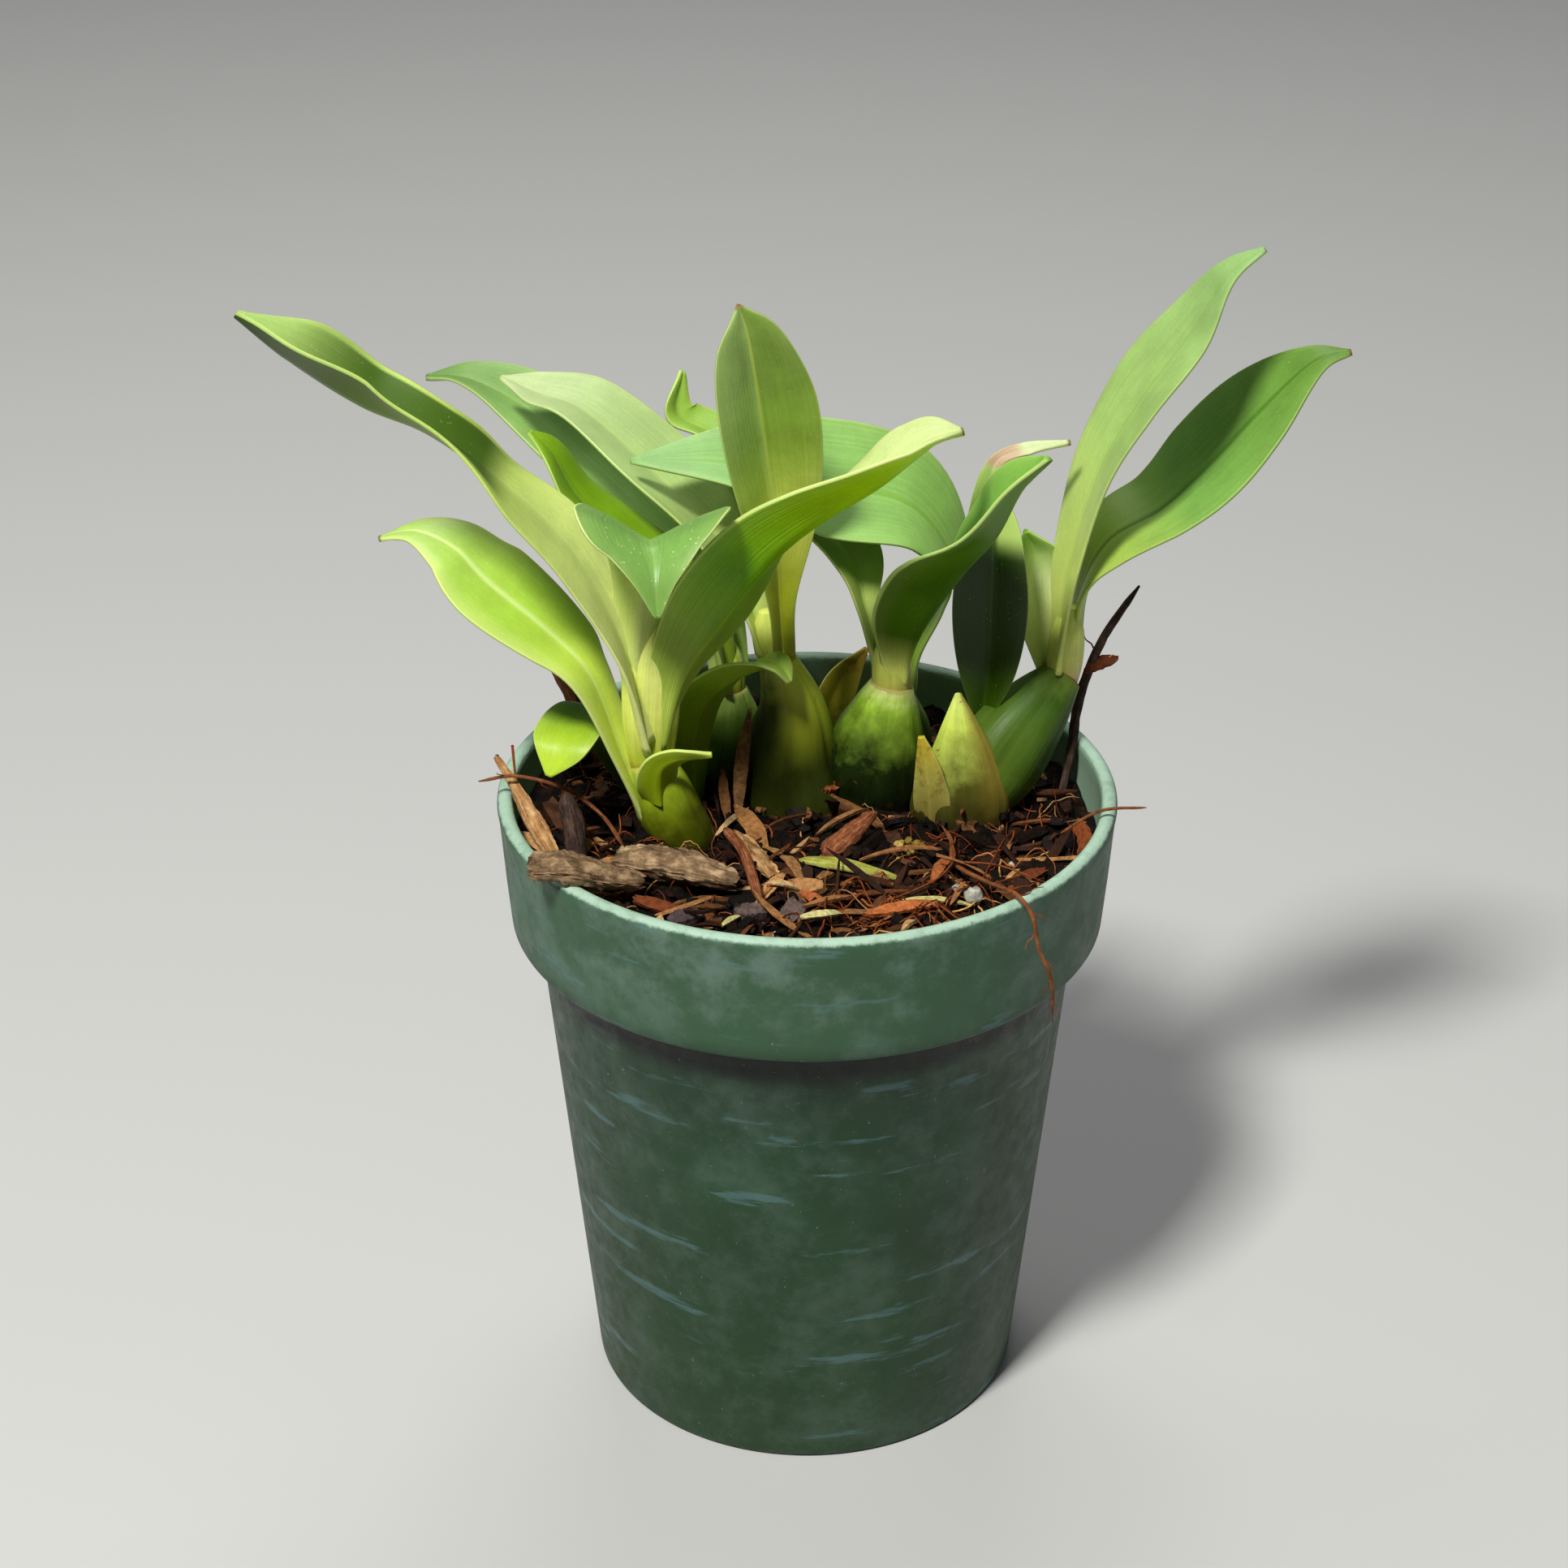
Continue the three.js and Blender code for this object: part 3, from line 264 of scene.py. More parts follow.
BACK_SKIN = [(70, 70, 14), (70, 96, 20), (96, 130, 40), (160, 184, 90)]
BULBS = {
    "bulb_a": dict(
        flat=0.9,
        skin=[(60, 66, 2), (84, 94, 2), (150, 172, 28), (206, 216, 90)],
        rows=[(-13.6, -4.2, 72, 1.8), (-14.4, -4.3, 77, 3.2), (-16.5, -4.6, 80.8, 3.8),
              (-17.8, -4.9, 84.9, 3.4), (-18.9, -5, 88.3, 2.5)]),
    "bulb_b": dict(
        # Its bright right shoulder is painted light, and its dark lower skin partly painted shade from the
        # leaves over it.
        flat=0.92, ribs=0.06, lit_side_and_stain=(-40, (206, 220, 56), 0.5),
        skin=[(52, 54, 6), (42, 52, 2), (62, 76, 6), (160, 176, 60)],
        rows=[(-1.6, 9, 70.5, 2.6), (-1.6, 8.6, 75.9, 7.2), (-2, 7.8, 83, 5.8), (-1.9, 6.5, 90.2, 3.9),
              (-3.6, 5.3, 96.9, 2.2)]),
    "bulb_c": dict(
        flat=0.92, ribs=0.025, stops=(0.3, 0.53, 0.78, 0.95),
        skin=[(8, 12, 2), (20, 38, 0), (140, 176, 46), (220, 232, 136)],
        rows=[(8.8, 9.2, 70.5, 2.5), (8.5, 8.9, 75.5, 5.8), (8.7, 8, 82.9, 6.3), (9.8, 7.2, 89.3, 4.2),
              (10.4, 7, 92.6, 2.7)]),
    "bulb_d": dict(
        flat=0.85, ribs=0.035, coat=0.0, gloss=0.15,
        skin=[(92, 106, 26), (82, 108, 32), (66, 96, 28), (120, 146, 56)],
        rows=[(18.5, 6.5, 71.5, 2.2), (20.8, 6.9, 77.5, 4.9), (24.3, 7.8, 83, 5.8),
              (28.8, 9.6, 88.5, 4.2), (32, 11.2, 91.9, 2.4)]),
    "sheath_e": dict(
        flat=0.5, ribs=0.02, slot="old_leaf_sheath", flecks=0.8, lit_side_and_stain=(0, (142, 124, 44), 0.2),
        skin=[(40, 32, 10), (84, 84, 26), (200, 218, 90), (212, 226, 116)],
        rows=[(18.4, 4.8, 71.5, 4), (18.9, 4, 75.5, 6), (19.1, 3.7, 80, 5.8), (19.1, 3.7, 84.5, 4.1),
              (18.8, 4.1, 88.8, 2.2), (18.5, 4.7, 92.6, 0.4)]),
    "bulb_e": dict(
        flat=0.9, ribs=0.05, skin=BACK_SKIN,
        rows=[(11.5, 19.2, 70.5, 2), (11.6, 19.1, 76, 4.2), (11.7, 18.8, 81, 4), (11.9, 17.8, 85.6, 2)]),
    "bulb_f": dict(
        flat=0.9, ribs=0.05, skin=BACK_SKIN,
        rows=[(-10.9, 14.6, 70.5, 2), (-10.8, 14.3, 77, 4.9), (-10.2, 13, 84, 4.6), (-9.8, 12, 89.8, 2.3)]),
}

# Pale sheaths that hold the leaf stalks together on top of each bulb, in rows like the bulbs'

COLLARS = {
    "collar_a": dict(
        flat=0.5,
        skin=[(196, 206, 60), (222, 232, 106), (228, 238, 126), (228, 238, 126)],
        rows=[(-18.7, -5.1, 86.8, 2.4), (-18.9, -5.3, 90.5, 2.9), (-18.8, -5.3, 95.5, 3.4),
              (-18.5, -5.2, 101, 3.2), (-18.2, -5, 106.5, 0.8)]),
    "collar_b": dict(
        flat=0.8,
        skin=[(166, 172, 50), (196, 206, 80), (210, 220, 104), (210, 220, 104)],
        rows=[(-3.7, 5.3, 95.6, 2.1), (-4, 5.4, 98.4, 2.3), (-4.6, 5.5, 101, 2), (-4.9, 5.5, 103.4, 1)]),
    "collar_c": dict(
        flat=0.8,
        skin=[(186, 176, 84), (206, 218, 96), (214, 226, 116), (214, 226, 116)],
        rows=[(10.4, 7, 91.2, 2.2), (10.4, 7, 94, 2.4), (10.3, 6.9, 97, 2.2), (10.1, 6.9, 99.4, 1.2)]),
    "collar_d": dict(
        flat=0.85,
        skin=[(206, 176, 100), (222, 228, 104), (218, 230, 110), (208, 222, 96)],
        rows=[(31.7, 11.2, 90.8, 1.9), (32, 11.4, 93.6, 2.2), (32.2, 11.6, 97.4, 2.1),
              (32.4, 11.7, 101, 1.1)]),
    "collar_e": dict(
        flat=0.85,
        skin=[(150, 156, 50), (170, 190, 60), (170, 196, 70), (170, 196, 70)],
        rows=[(11.9, 17.8, 84.6, 1.7), (12.1, 17.8, 86.8, 1.9), (12.5, 17.9, 89.4, 1.6),
              (13, 18, 91.6, 0.8)]),
    "collar_f": dict(
        flat=0.85,
        skin=[(150, 156, 50), (170, 190, 60), (180, 204, 84), (180, 204, 84)],
        rows=[(-9.8, 12, 88.6, 1.9), (-9.9, 12, 91.2, 2.2), (-10.2, 11.9, 94.2, 2), (-10.6, 11.8, 97, 1)]),
}

# Bark, sticks, straw and bare roots
# Each row is a station: x, y, z, half width, half thickness. face is the roll in degrees.
# rough is the height of the bumps, and slim the share of the width and thickness that is kept.

DEBRIS = {
    "bark_slab_left": dict(
        kind="bark", face=20, slot="bark",
        rows=[(-32.3, -24.2, 84.7, 1.7, 0.9), (-28.5, -24, 84.5, 1.9, 1), (-24, -22.7, 82.6, 1.7, 1),
              (-19.5, -20.8, 80.6, 1, 0.8)]),
    "bark_slab_front": dict(
        kind="bark", rough=0.13, face=25, slot="bark",
        rows=[(-22.8, -16, 81, 1.4, 0.8), (-18.5, -16.8, 81.2, 2, 1), (-13.5, -18.3, 81, 1.9, 1),
              (-8.5, -20.3, 80.3, 1.1, 0.8)]),
    "stick_dark": dict(
        kind="twig", rough=0.16, slot="dark_twig",
        rows=[(-27.6, -12.5, 74, 1.3, 1.2), (-28, -10.5, 81, 1.4, 1.2), (-29, -8.8, 86, 1.1, 1)]),
    "stick_back": dict(
        kind="red", rough=0.16, slot="dry_fibre",
        rows=[(-25.5, 18, 74, 1.2, 1), (-28.6, 17.5, 84, 1.3, 1.1), (-32.6, 17.5, 92.5, 0.9, 0.8)]),
    "twig_right": dict(
        kind="twig", rough=0.16, slot="dark_twig", slim=0.62,
        rows=[(31.8, 7.5, 75.6, 0.8, 0.8), (33.2, 10.5, 81.5, 0.9, 0.9), (34.3, 13.5, 87.7, 1, 1),
              (36.8, 15, 94.6, 0.9, 0.9), (41.3, 15.8, 102, 0.7, 0.7)]),
    "straw_front": dict(
        kind="straw", rough=0.06, face=10, slot="straw",
        rows=[(-1, -11.6, 78.4, 0.5, 0.4), (4, -14.2, 79.3, 1.1, 0.5), (11, -15, 77.7, 0.5, 0.4)]),
    "chip_red": dict(
        kind="red", rough=0.16, face=35, slot="dry_fibre",
        rows=[(2, -9.8, 78.1, 1.3, 0.6), (5.5, -6.3, 79.3, 1.3, 0.6), (8.5, -3.5, 80.5, 0.5, 0.5)]),
    "chip_tan": dict(
        kind="tan", rough=0.16, face=-30, slot="bark",
        rows=[(-8.6, -8.5, 80.2, 0.8, 0.6), (-6.3, -13, 80, 1.7, 0.7), (-4, -17.3, 79.3, 1, 0.6)]),
    "stick_red": dict(
        kind="red", slot="dry_fibre",
        rows=[(-10, -8.6, 81, 0.6, 0.6), (-7.6, -16, 81.8, 0.65, 0.65), (-5.6, -24.5, 80.2, 0.6, 0.6)]),
    "splinter_left": dict(
        kind="tan", rough=0.11, slot="straw",
        rows=[(-38.3, 3.4, 84.4, 0.4, 0.4), (-35.7, -2.2, 83.4, 0.6, 0.5), (-33, -6.6, 80.6, 1.1, 0.6),
              (-30.6, -11.2, 78.8, 0.8, 0.5)]),
    "root_left": dict(
        kind="root", slot="dry_fibre", slim=0.55,
        rows=[(-40, -3.2, 84.6, 0.4, 0.4), (-35.2, -2.8, 85.1, 0.4, 0.4), (-29.1, -4.3, 84, 0.45, 0.45),
              (-24.8, -5.6, 81, 0.45, 0.45), (-22.3, -8, 78.2, 0.5, 0.5)]),
    "root_right": dict(
        kind="root", slot="dry_fibre", slim=0.55,
        rows=[(16.6, -3, 78.2, 0.5, 0.5), (17.4, -8, 79, 0.5, 0.5), (17.5, -14, 79.3, 0.5, 0.5),
              (20.5, -19.5, 80.2, 0.5, 0.5), (22.4, -25.6, 82.6, 0.45, 0.45), (24, -29.1, 83.6, 0.45, 0.45),
              (25.6, -30.9, 81.9, 0.45, 0.45), (26.4, -31.6, 78.2, 0.4, 0.4), (28, -31.8, 73.8, 0.4, 0.4),
              (28.4, -31.4, 67.8, 0.3, 0.3)]),
    "fibre_right": dict(
        kind="root", slot="dry_fibre", slim=0.55,
        rows=[(30.5, -9, 80.6, 0.4, 0.35), (35.2, -8.5, 83.4, 0.4, 0.35), (40.8, -8.2, 83.7, 0.3, 0.3)]),
}

# The woods of the debris: material name, dark, middle and light colour, and roughness if unusual

WOODS = {
    "bark": ("old_bark", (48, 34, 26), (124, 98, 70), (186, 156, 120)),
    "twig": ("dark_twig", (34, 24, 20), (64, 47, 40), (104, 80, 66)),
    "red": ("red_wood", (70, 34, 20), (132, 74, 44), (184, 120, 78)),
    "tan": ("tan_wood", (120, 76, 40), (176, 130, 82), (216, 178, 128)),
    "straw": ("straw", (110, 108, 30), (166, 166, 70), (206, 204, 120), 0.6),
    "root": ("bare_root", (78, 40, 20), (136, 78, 44), (176, 118, 70)),
}

# Scraps that the photograph shows at a place of their own
# Each one: x, y, height over the mix, yaw, tilt, roll, length, width, thickness, narrowing, bend

SCRAPS = {
    "tan": [(-8.2, 4.4, 6.3, 74, -68, 20, 13.6, 1.7, 0.3, 0.75, 0.9),
            (-10.2, 3.2, 2.8, 100, -46, -10, 7.5, 1.3, 0.3, 0.8, 0.6),
            (-6.6, -4.5, 2.0, -64, 16, 12, 9.5, 2.4, 0.25, 0.85, 1.2),
            (-2.6, -12.6, 1.0, -57, 8, -20, 8.5, 1.8, 0.25, 0.85, 1.0),
            (-4.4, -19.4, 0.7, 62, -6, 12, 7.5, 1.4, 0.3, 0.85, 0.8),
            (-32.2, -7.4, 1.4, -54, 6, 20, 8.5, 1.9, 0.3, 0.85, 0.7),
            (-30.2, 1.5, 1.2, 40, 10, 30, 6.5, 1.4, 0.3, 0.8, 0.7),
            (6.2, -17.6, 0.8, 22, 4, 10, 6, 1, 0.3, 0.85, 0.5),
            (-12.2, -24.2, 0.6, 15, 0, 10, 5, 1.1, 0.3, 0.8, 0.4)],
    "red": [(2.4, 4.1, 2.6, 30, 10, 20, 2.2, 2, 1.2, 0.2, 0),
            (36.9, 14.4, 15.2, 20, -14, 30, 4.6, 1.7, 0.4, 0.7, 0.4),
            (33.6, -4.2, 1.6, -88, 8, 62, 8, 3, 0.5, 0.5, -0.4),
            (1.5, -21.6, 1.1, -50, 10, 30, 6.5, 1.4, 0.4, 0.7, 0.5),
            (11, -24.4, 1.0, 24, 5, 15, 9.5, 1.6, 0.5, 0.7, 0.6),
            (15.6, -14.6, 1.0, 70, 6, 15, 7, 1.3, 0.4, 0.7, 0.5),
            (-17.6, -23.4, 1.0, -20, 8, 20, 6, 1.6, 0.5, 0.5, 0.3),
            (26, -15, 1.0, 50, 4, 15, 7.5, 1.6, 0.5, 0.7, 0.5)],
    "straw": [(1.4, -27.2, 1.9, 33, 12, 20, 5.4, 1, 0.25, 0.5, 0.3),
              (15, -22.2, 1.6, -4, 2, 10, 8.5, 0.8, 0.25, 0.8, 0.5),
              (-9, -27.6, 1.2, 55, 6, 10, 3.4, 0.7, 0.25, 0.5, 0.2)],
    "grey": [(-1.9, -23.6, 1.0, 72, 0, 30, 4.2, 2.4, 1.3, 0.5, 0.4),
             (-6.8, -25.2, 0.8, 10, 0, 10, 3.6, 2, 1.2, 0.4, 0.2),
             (-14.4, -26.4, 0.7, 30, 0, 10, 4, 2.2, 1, 0.4, 0.2)],
}

# Lumps on the mix: x, y, height over the mix, size

PERLITE = [(19.4, -21.5, 1.2, 1.2), (17.6, -20.4, 0.8, 0.7), (-12.6, -12.4, 0.8, 0.6),
           (25.2, -6.2, 0.6, 0.6), (-24.4, 12.6, 0.6, 0.9), (6.4, 26.4, 0.6, 0.8), (-3.6, -29.4, 0.8, 0.5)]
BEADS = [(12.2, -7.4, 1.4, 0.75), (13.3, -6.2, 1.6, 0.6), (11.2, -6.1, 1.3, 0.65), (12.6, -9.1, 1.2, 0.55),
         (13.9, -8.1, 1.1, 0.5), (11.3, -8.8, 1.0, 0.5), (12.4, -5.2, 2.0, 0.5)]

# Hair roots: the place along the bare root, the reach in x, y and z, and the radius

ROOTLETS = {
    "root_right": [(0.47, 2.4, -0.8, 1.0, 0.13), (0.52, -2.6, -0.6, 0.5, 0.12), (0.56, 2.6, 1.6, 0.5, 0.11),
                   (0.64, 1.9, -0.8, -0.6, 0.1), (0.72, -1.2, -0.7, -1.6, 0.1), (0.8, 1.5, -0.4, -1.8, 0.1),
                   (0.88, -1.0, -0.3, -2.2, 0.08), (0.93, 0.9, -0.3, -2.4, 0.08),
                   (0.38, 3.0, 0.4, 0.8, 0.11)],
    "root_left": [(0.16, -0.9, -0.8, 0.9, 0.09), (0.34, 1.2, -1.6, -0.3, 0.09),
                  (0.62, 1.6, -1.2, -1.0, 0.09)],
    "fibre_right": [(0.55, 1.4, -0.9, 0.6, 0.09), (0.7, 1.2, 0.8, -0.3, 0.08)],
    "twig_right": [(0.62, 2.8, 0.4, 1.6, 0.16), (0.7, -1.8, 0.3, 2.6, 0.14), (0.8, 1.6, 0.4, 1.8, 0.12)],
}

# Loose roots on the mix: the path and the radius

LOOSE_ROOTS = [
    ([(17.4, -10.5, 79.9), (17.4, -14.6, 80.2), (15.6, -18.6, 80.1), (12.4, -21, 79.6),
      (8.6, -22.6, 78.9)], 0.2),
    ([(18.6, -15.5, 80.3), (22.6, -16.8, 80.6), (26.2, -18.4, 80), (28.6, -18.2, 78.8)], 0.16),
    ([(-36.2, 2.4, 86.6), (-35.6, -1.2, 84), (-34.6, -3.4, 80.8), (-32.8, -5.4, 77.6)], 0.2),
    ([(20.6, -19.2, 80.2), (22.4, -16.8, 82.6), (23.4, -14.2, 82.8), (23.2, -12, 80.2),
      (22.8, -10.6, 76.8)], 0.12),
]

# Colours of loose pieces, soil and pot: the place on the scale, then the colour

CHIP_COLOURS = [(0.0, (9, 6, 4)), (0.5, (24, 14, 9)), (0.75, (54, 30, 17)), (0.9, (104, 64, 36)),
                (1.0, (176, 128, 80))]
SPLINTER_COLOURS = [(0.0, (22, 13, 8)), (0.4, (58, 31, 17)), (0.68, (118, 70, 38)), (0.87, (180, 128, 78)),
                    (1.0, (220, 184, 130))]
BEAD_COLOURS = [(0.0, (128, 104, 34)), (1.0, (186, 160, 84))]
PERLITE_COLOURS = [(0.0, (176, 172, 156)), (1.0, (202, 198, 182))]
FIBRE_COLOURS = [(0.0, (56, 24, 11)), (0.5, (120, 54, 24)), (0.8, (170, 96, 46)), (1.0, (206, 160, 100))]
SCRAP_COLOURS = {
    "tan": [(0.0, (112, 70, 36)), (0.5, (156, 106, 60)), (1.0, (196, 150, 98))],
    "red": [(0.0, (96, 46, 24)), (0.5, (150, 78, 40)), (1.0, (190, 112, 62))],
    "straw": [(0.0, (206, 194, 122)), (1.0, (226, 216, 160))],
    "grey": [(0.0, (78, 64, 66)), (1.0, (112, 92, 86))],
}
SOIL_COLOURS = [(0.4, (6, 4, 3)), (0.52, (20, 11, 6)), (0.62, (52, 26, 11)), (0.72, (92, 54, 26))]
POT_COLOURS = [(0.3, (24, 50, 30)), (0.55, (32, 62, 38)), (0.75, (42, 76, 50))]


# Curves and meshes

def through(rows, u):
    """The smooth curve through rows of numbers, at u from 0 to 1."""
    last = len(rows) - 1
    place = min(max(u, 0.0), 1.0) * last
    i = min(int(place), last - 1)
    t = place - i
    before = [2 * a - b for a, b in zip(rows[0], rows[1])]
    after = [2 * a - b for a, b in zip(rows[-1], rows[-2])]
    near = [before, *rows, after][i:i + 4]
    return [b + 0.5 * t * (c - a + t * (2 * a - 5 * b + 4 * c - d + t * (3 * (b - c) + d - a)))
            for a, b, c, d in zip(*near)]


def heading(rows, u):
    """The direction of the curve at u."""
    spine = [row[:3] for row in rows]
    return (Vector(through(spine, u + 0.004)) - Vector(through(spine, u - 0.004))).normalized()


def rolled(level, up, degrees):
    """The directions across and out of a section that is rolled by some degrees."""
    turn = math.radians(degrees)
    return level * math.cos(turn) + up * math.sin(turn), up * math.cos(turn) - level * math.sin(turn)


def around(sides):
    """The cosine and sine of evenly spaced turns."""
    return [(math.cos(TURN * k / sides), math.sin(TURN * k / sides)) for k in range(sides)]


def tube_faces(rings, sides):
    """Quads along a tube of rings, and a face on each end."""
    faces = []
    for a in range(0, (rings - 1) * sides, sides):
        for k in range(sides):
            n = (k + 1) % sides
            faces.append([a + k, a + n, a + sides + n, a + sides + k])
    faces.append(list(reversed(range(sides))))
    faces.append([(rings - 1) * sides + k for k in range(sides)])
    return faces


def tube_map(rings, sides):
    """The tube's UV pairs, the share along it and round it, one for each face corner."""
    pairs = []
    for i in range(rings - 1):
        low, high = i / (rings - 1), (i + 1) / (rings - 1)
        for k in range(sides):
            near, far = k / sides, (k + 1) / sides
            pairs += [(low, near), (low, far), (high, far), (high, near)]
    pairs += [(0.0, k / sides) for k in reversed(range(sides))]
    return pairs + [(1.0, k / sides) for k in range(sides)]


def turned_faces(rings, sides):
    """Faces round an axis: a first point, rings of points and a last point."""
    faces = []
    last = 1 + (rings - 1) * sides
    for k in range(sides):
        n = (k + 1) % sides
        faces.append([0, 1 + n, 1 + k])
        for a in range(1, last, sides):
            faces.append([a + k, a + n, a + sides + n, a + sides + k])
        faces.append([last + k, last + n, last + sides])
    return faces


def mesh_object(name, vertices, faces, maps=None, sharp=None):
    """A smooth mesh in metres from millimetre vertices. Each UV map has one pair for each face corner."""
    mesh = bpy.data.meshes.new(name)
    mesh.from_pydata([tuple(c * MM for c in v) for v in vertices], [], faces)
    for title, pairs in (maps or {}).items():
        layer = mesh.uv_layers.new(name=title)
        layer.data.foreach_set("uv", [x for pair in pairs for x in pair])
    mesh.shade_smooth()
    if sharp:
        mesh.set_sharp_from_angle(angle=math.radians(sharp))
    piece = bpy.data.objects.new(name, mesh)
    bpy.context.scene.collection.objects.link(piece)
    return piece


def dress(piece, material, slot, *nodes):
    """Gives a piece its material and body, and hides the solids that it stands for; the slot is not used."""
    piece.data.materials.append(material)
    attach(piece, "root")
    if nodes:
        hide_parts(*nodes)


# Leaf blades

BLADE_STEPS = 64
BLADE_CELLS = 16
STALK = 0.34
MIDDLE_THICKNESS = 0.34
EDGE_THINNING = 0.17
MARGIN_WAVE = 0.35
RIB_WIDTH = 0.1
CHANNEL_DEPTH = 0.07
KEEL_DEPTH = 0.2


def blade_frame(leaf, u):
    """A station of a blade: its point, the directions across and out of it, half width and slope."""
    rows = [row if len(row) == 6 else (*row, leaf["fold"]) for row in leaf["rows"]]
    x, y, z, half, roll, fold = through(rows, u)
    ahead = heading(rows, u)
    head = math.radians(leaf["head"])
    side = Vector((math.sin(head), -math.cos(head), 0))
    level = (side - ahead * side.dot(ahead)).normalized()
    across, normal = rolled(level, level.cross(ahead), roll)
    return Vector((x, y, z)), across, normal, max(half, 0.12), math.atan(fold)


def blade_section(leaf, seed, u, loop):
    """The outline of a blade at u, with a channel over the midrib and a keel under it."""
    point, across, normal, half, slope = blade_frame(leaf, u)
    foot = max(0.0, 1 - u / STALK) ** 2
    slope += max(math.radians(leaf.get("gather", 50)) - slope, 0) * foot
    body = math.sin(math.pi * min(1, u * 1.15)) ** 0.5 if u < 0.87 else 1.0
    outline = []
    for s, face in loop:
        edge = math.sqrt(s * s + 0.003) - math.sqrt(0.003)
        thick = (MIDDLE_THICKNESS - EDGE_THINNING * abs(s) ** 3) * (1 + 0.6 * foot)
        rise = half * (edge * math.sin(slope) - 0.1 * s * s)
        wave = noise.noise(Vector((u * 5.5, 7 * seed + (1.7 if s > 0 else 0), 0)))
        rise += MARGIN_WAVE * wave * s * s * min(1, half / 5)
        rib = math.exp(-((s / RIB_WIDTH) ** 2)) * (1 - 0.7 * u)
        rise += face * thick / math.cos(slope) - (CHANNEL_DEPTH if face > 0 else KEEL_DEPTH) * rib * body
        outline.append(point + across * (s * half * math.cos(slope)) + normal * rise)
    return outline


def blade(name, leaf):
    """A thin folded blade with rounded margins, gathered into a steep and thicker stalk towards its foot."""
    seed = sum(map(ord, name))
    spots = [-math.cos(math.pi * j / BLADE_CELLS) for j in range(BLADE_CELLS + 1)]
    loop = [(s, 1) for s in spots] + [(s, -1) for s in reversed(spots)]
    ring = len(loop)
    vertices = []
    for i in range(BLADE_STEPS + 1):
        vertices += blade_section(leaf, seed, i / BLADE_STEPS, loop)
    faces, blade_map, face_map = [], [], []

    def add(corners, under=0.0):
        faces.append(corners)
        blade_map.extend((c // ring / BLADE_STEPS, (loop[c % ring][0] + 1) / 2) for c in corners)
        face_map.extend((under, 0.5) for _ in corners)

    top = BLADE_STEPS * ring
    for a in range(0, top, ring):
        for k in range(ring):
            n = (k + 1) % ring
            add([a + k, a + n, a + ring + n, a + ring + k], 1.0 if k > BLADE_CELLS and n != 0 else 0.0)
    for j in range(BLADE_CELLS):
        add([j + 1, j, ring - 1 - j, ring - 2 - j])
        add([top + j, top + j + 1, top + ring - 2 - j, top + ring - 1 - j])
    return mesh_object("blade_" + name, vertices, faces, {"blade": blade_map, "face": face_map})


# Bulb skins

BULB_SIDES = 72
BULB_RINGS = 44
CAP_RINGS = 5
FURROWS = 3


def bulb_stations():
    """The share along the axis, the share of the radius and the reach past the end, for each ring."""
    parts = CAP_RINGS + 1
    caps = [(math.sin(math.pi / 2 * i / parts), 1 - i / parts) for i in range(1, parts)]
    foot = [(0.0, share, -beyond) for share, beyond in caps]
    wall = [(i / BULB_RINGS, 1.0, 0.0) for i in range(BULB_RINGS + 1)]
    return foot + wall + [(1.0, *cap) for cap in reversed(caps)]


def bulb(name, shape):
    """A ribbed, slightly flattened bulb with rounded ends."""
    rows, ribs = shape["rows"], shape.get("ribs", 0.03)
    seed = sum(map(ord, name))
    stations = bulb_stations()
    vertices = []
    for u, share, beyond in stations:
        x, y, z, radius = through(rows, u)
        ahead = heading(rows, u)
        across = (Vector((1, 0, 0)) - ahead * ahead.x).normalized()
        other = ahead.cross(across)
        point = Vector((x, y, z)) + ahead * (beyond * 0.3 * radius)
        for k, (cosine, sine) in enumerate(around(BULB_SIDES)):
            furrow = abs(math.cos(FURROWS * (TURN * k / BULB_SIDES))) ** 0.7 * 2 - 1
            lump = noise.noise(Vector((cosine * 1.3, sine * 1.3, u * 3 + seed)))
            reach = min(radius * share * (1 + ribs * furrow + 0.03 * lump), radius * (1 + ribs))
            vertices.append(point + (across * (reach * cosine) + other * (shape["flat"] * reach * sine)))
    size = len(stations), BULB_SIDES
    return mesh_object("skin_" + name, vertices, tube_faces(*size), {"bulb": tube_map(*size)})


# Bark, sticks and bare roots

ROD_SIDES = 12
TORN_SIDES = 32
STEPS_PER_ROW = 10
TORN_KINDS = ("bark", "tan")
RAGGED_END = 0.06


def rod_point(u, angle, wraps, rough, seed, torn):
    """One point of a rod's section: its bump and share across, its layer and share out, and its jag."""
    c, s = math.cos(angle), math.sin(angle)
    grain = noise.noise(Vector((c * 1.6, s * 1.6, u * wraps * 1.4 + seed)))
    fine = noise.noise(Vector((c * 4, s * 4, u * wraps * 4 + seed)))
    bump = 1 + rough * (1.6 * grain + 1.2 * fine)
    if not torn:
        return bump, c, 1.0, s, 0.0
    c, s = math.copysign(abs(c) ** 0.4, c), math.copysign(abs(s) ** 0.4, s)
    flake = noise.noise(Vector((c * 2.2, u * wraps * 0.9, seed + (5 if s > 0 else 0))))
    layer = 0.62 + 0.3 * (flake > 0.05) + 0.5 * fine
    end, jag = min(u, 1 - u), 0.0
    if end < RAGGED_END:
        jag = noise.noise(Vector((c * 3.1, seed, 40 if u > 0.5 else 0)))
        jag = (1 if u > 0.5 else -1) * 1.7 * max(jag, -0.2) * (1 - end / RAGGED_END)
    return bump, c, layer, s, jag


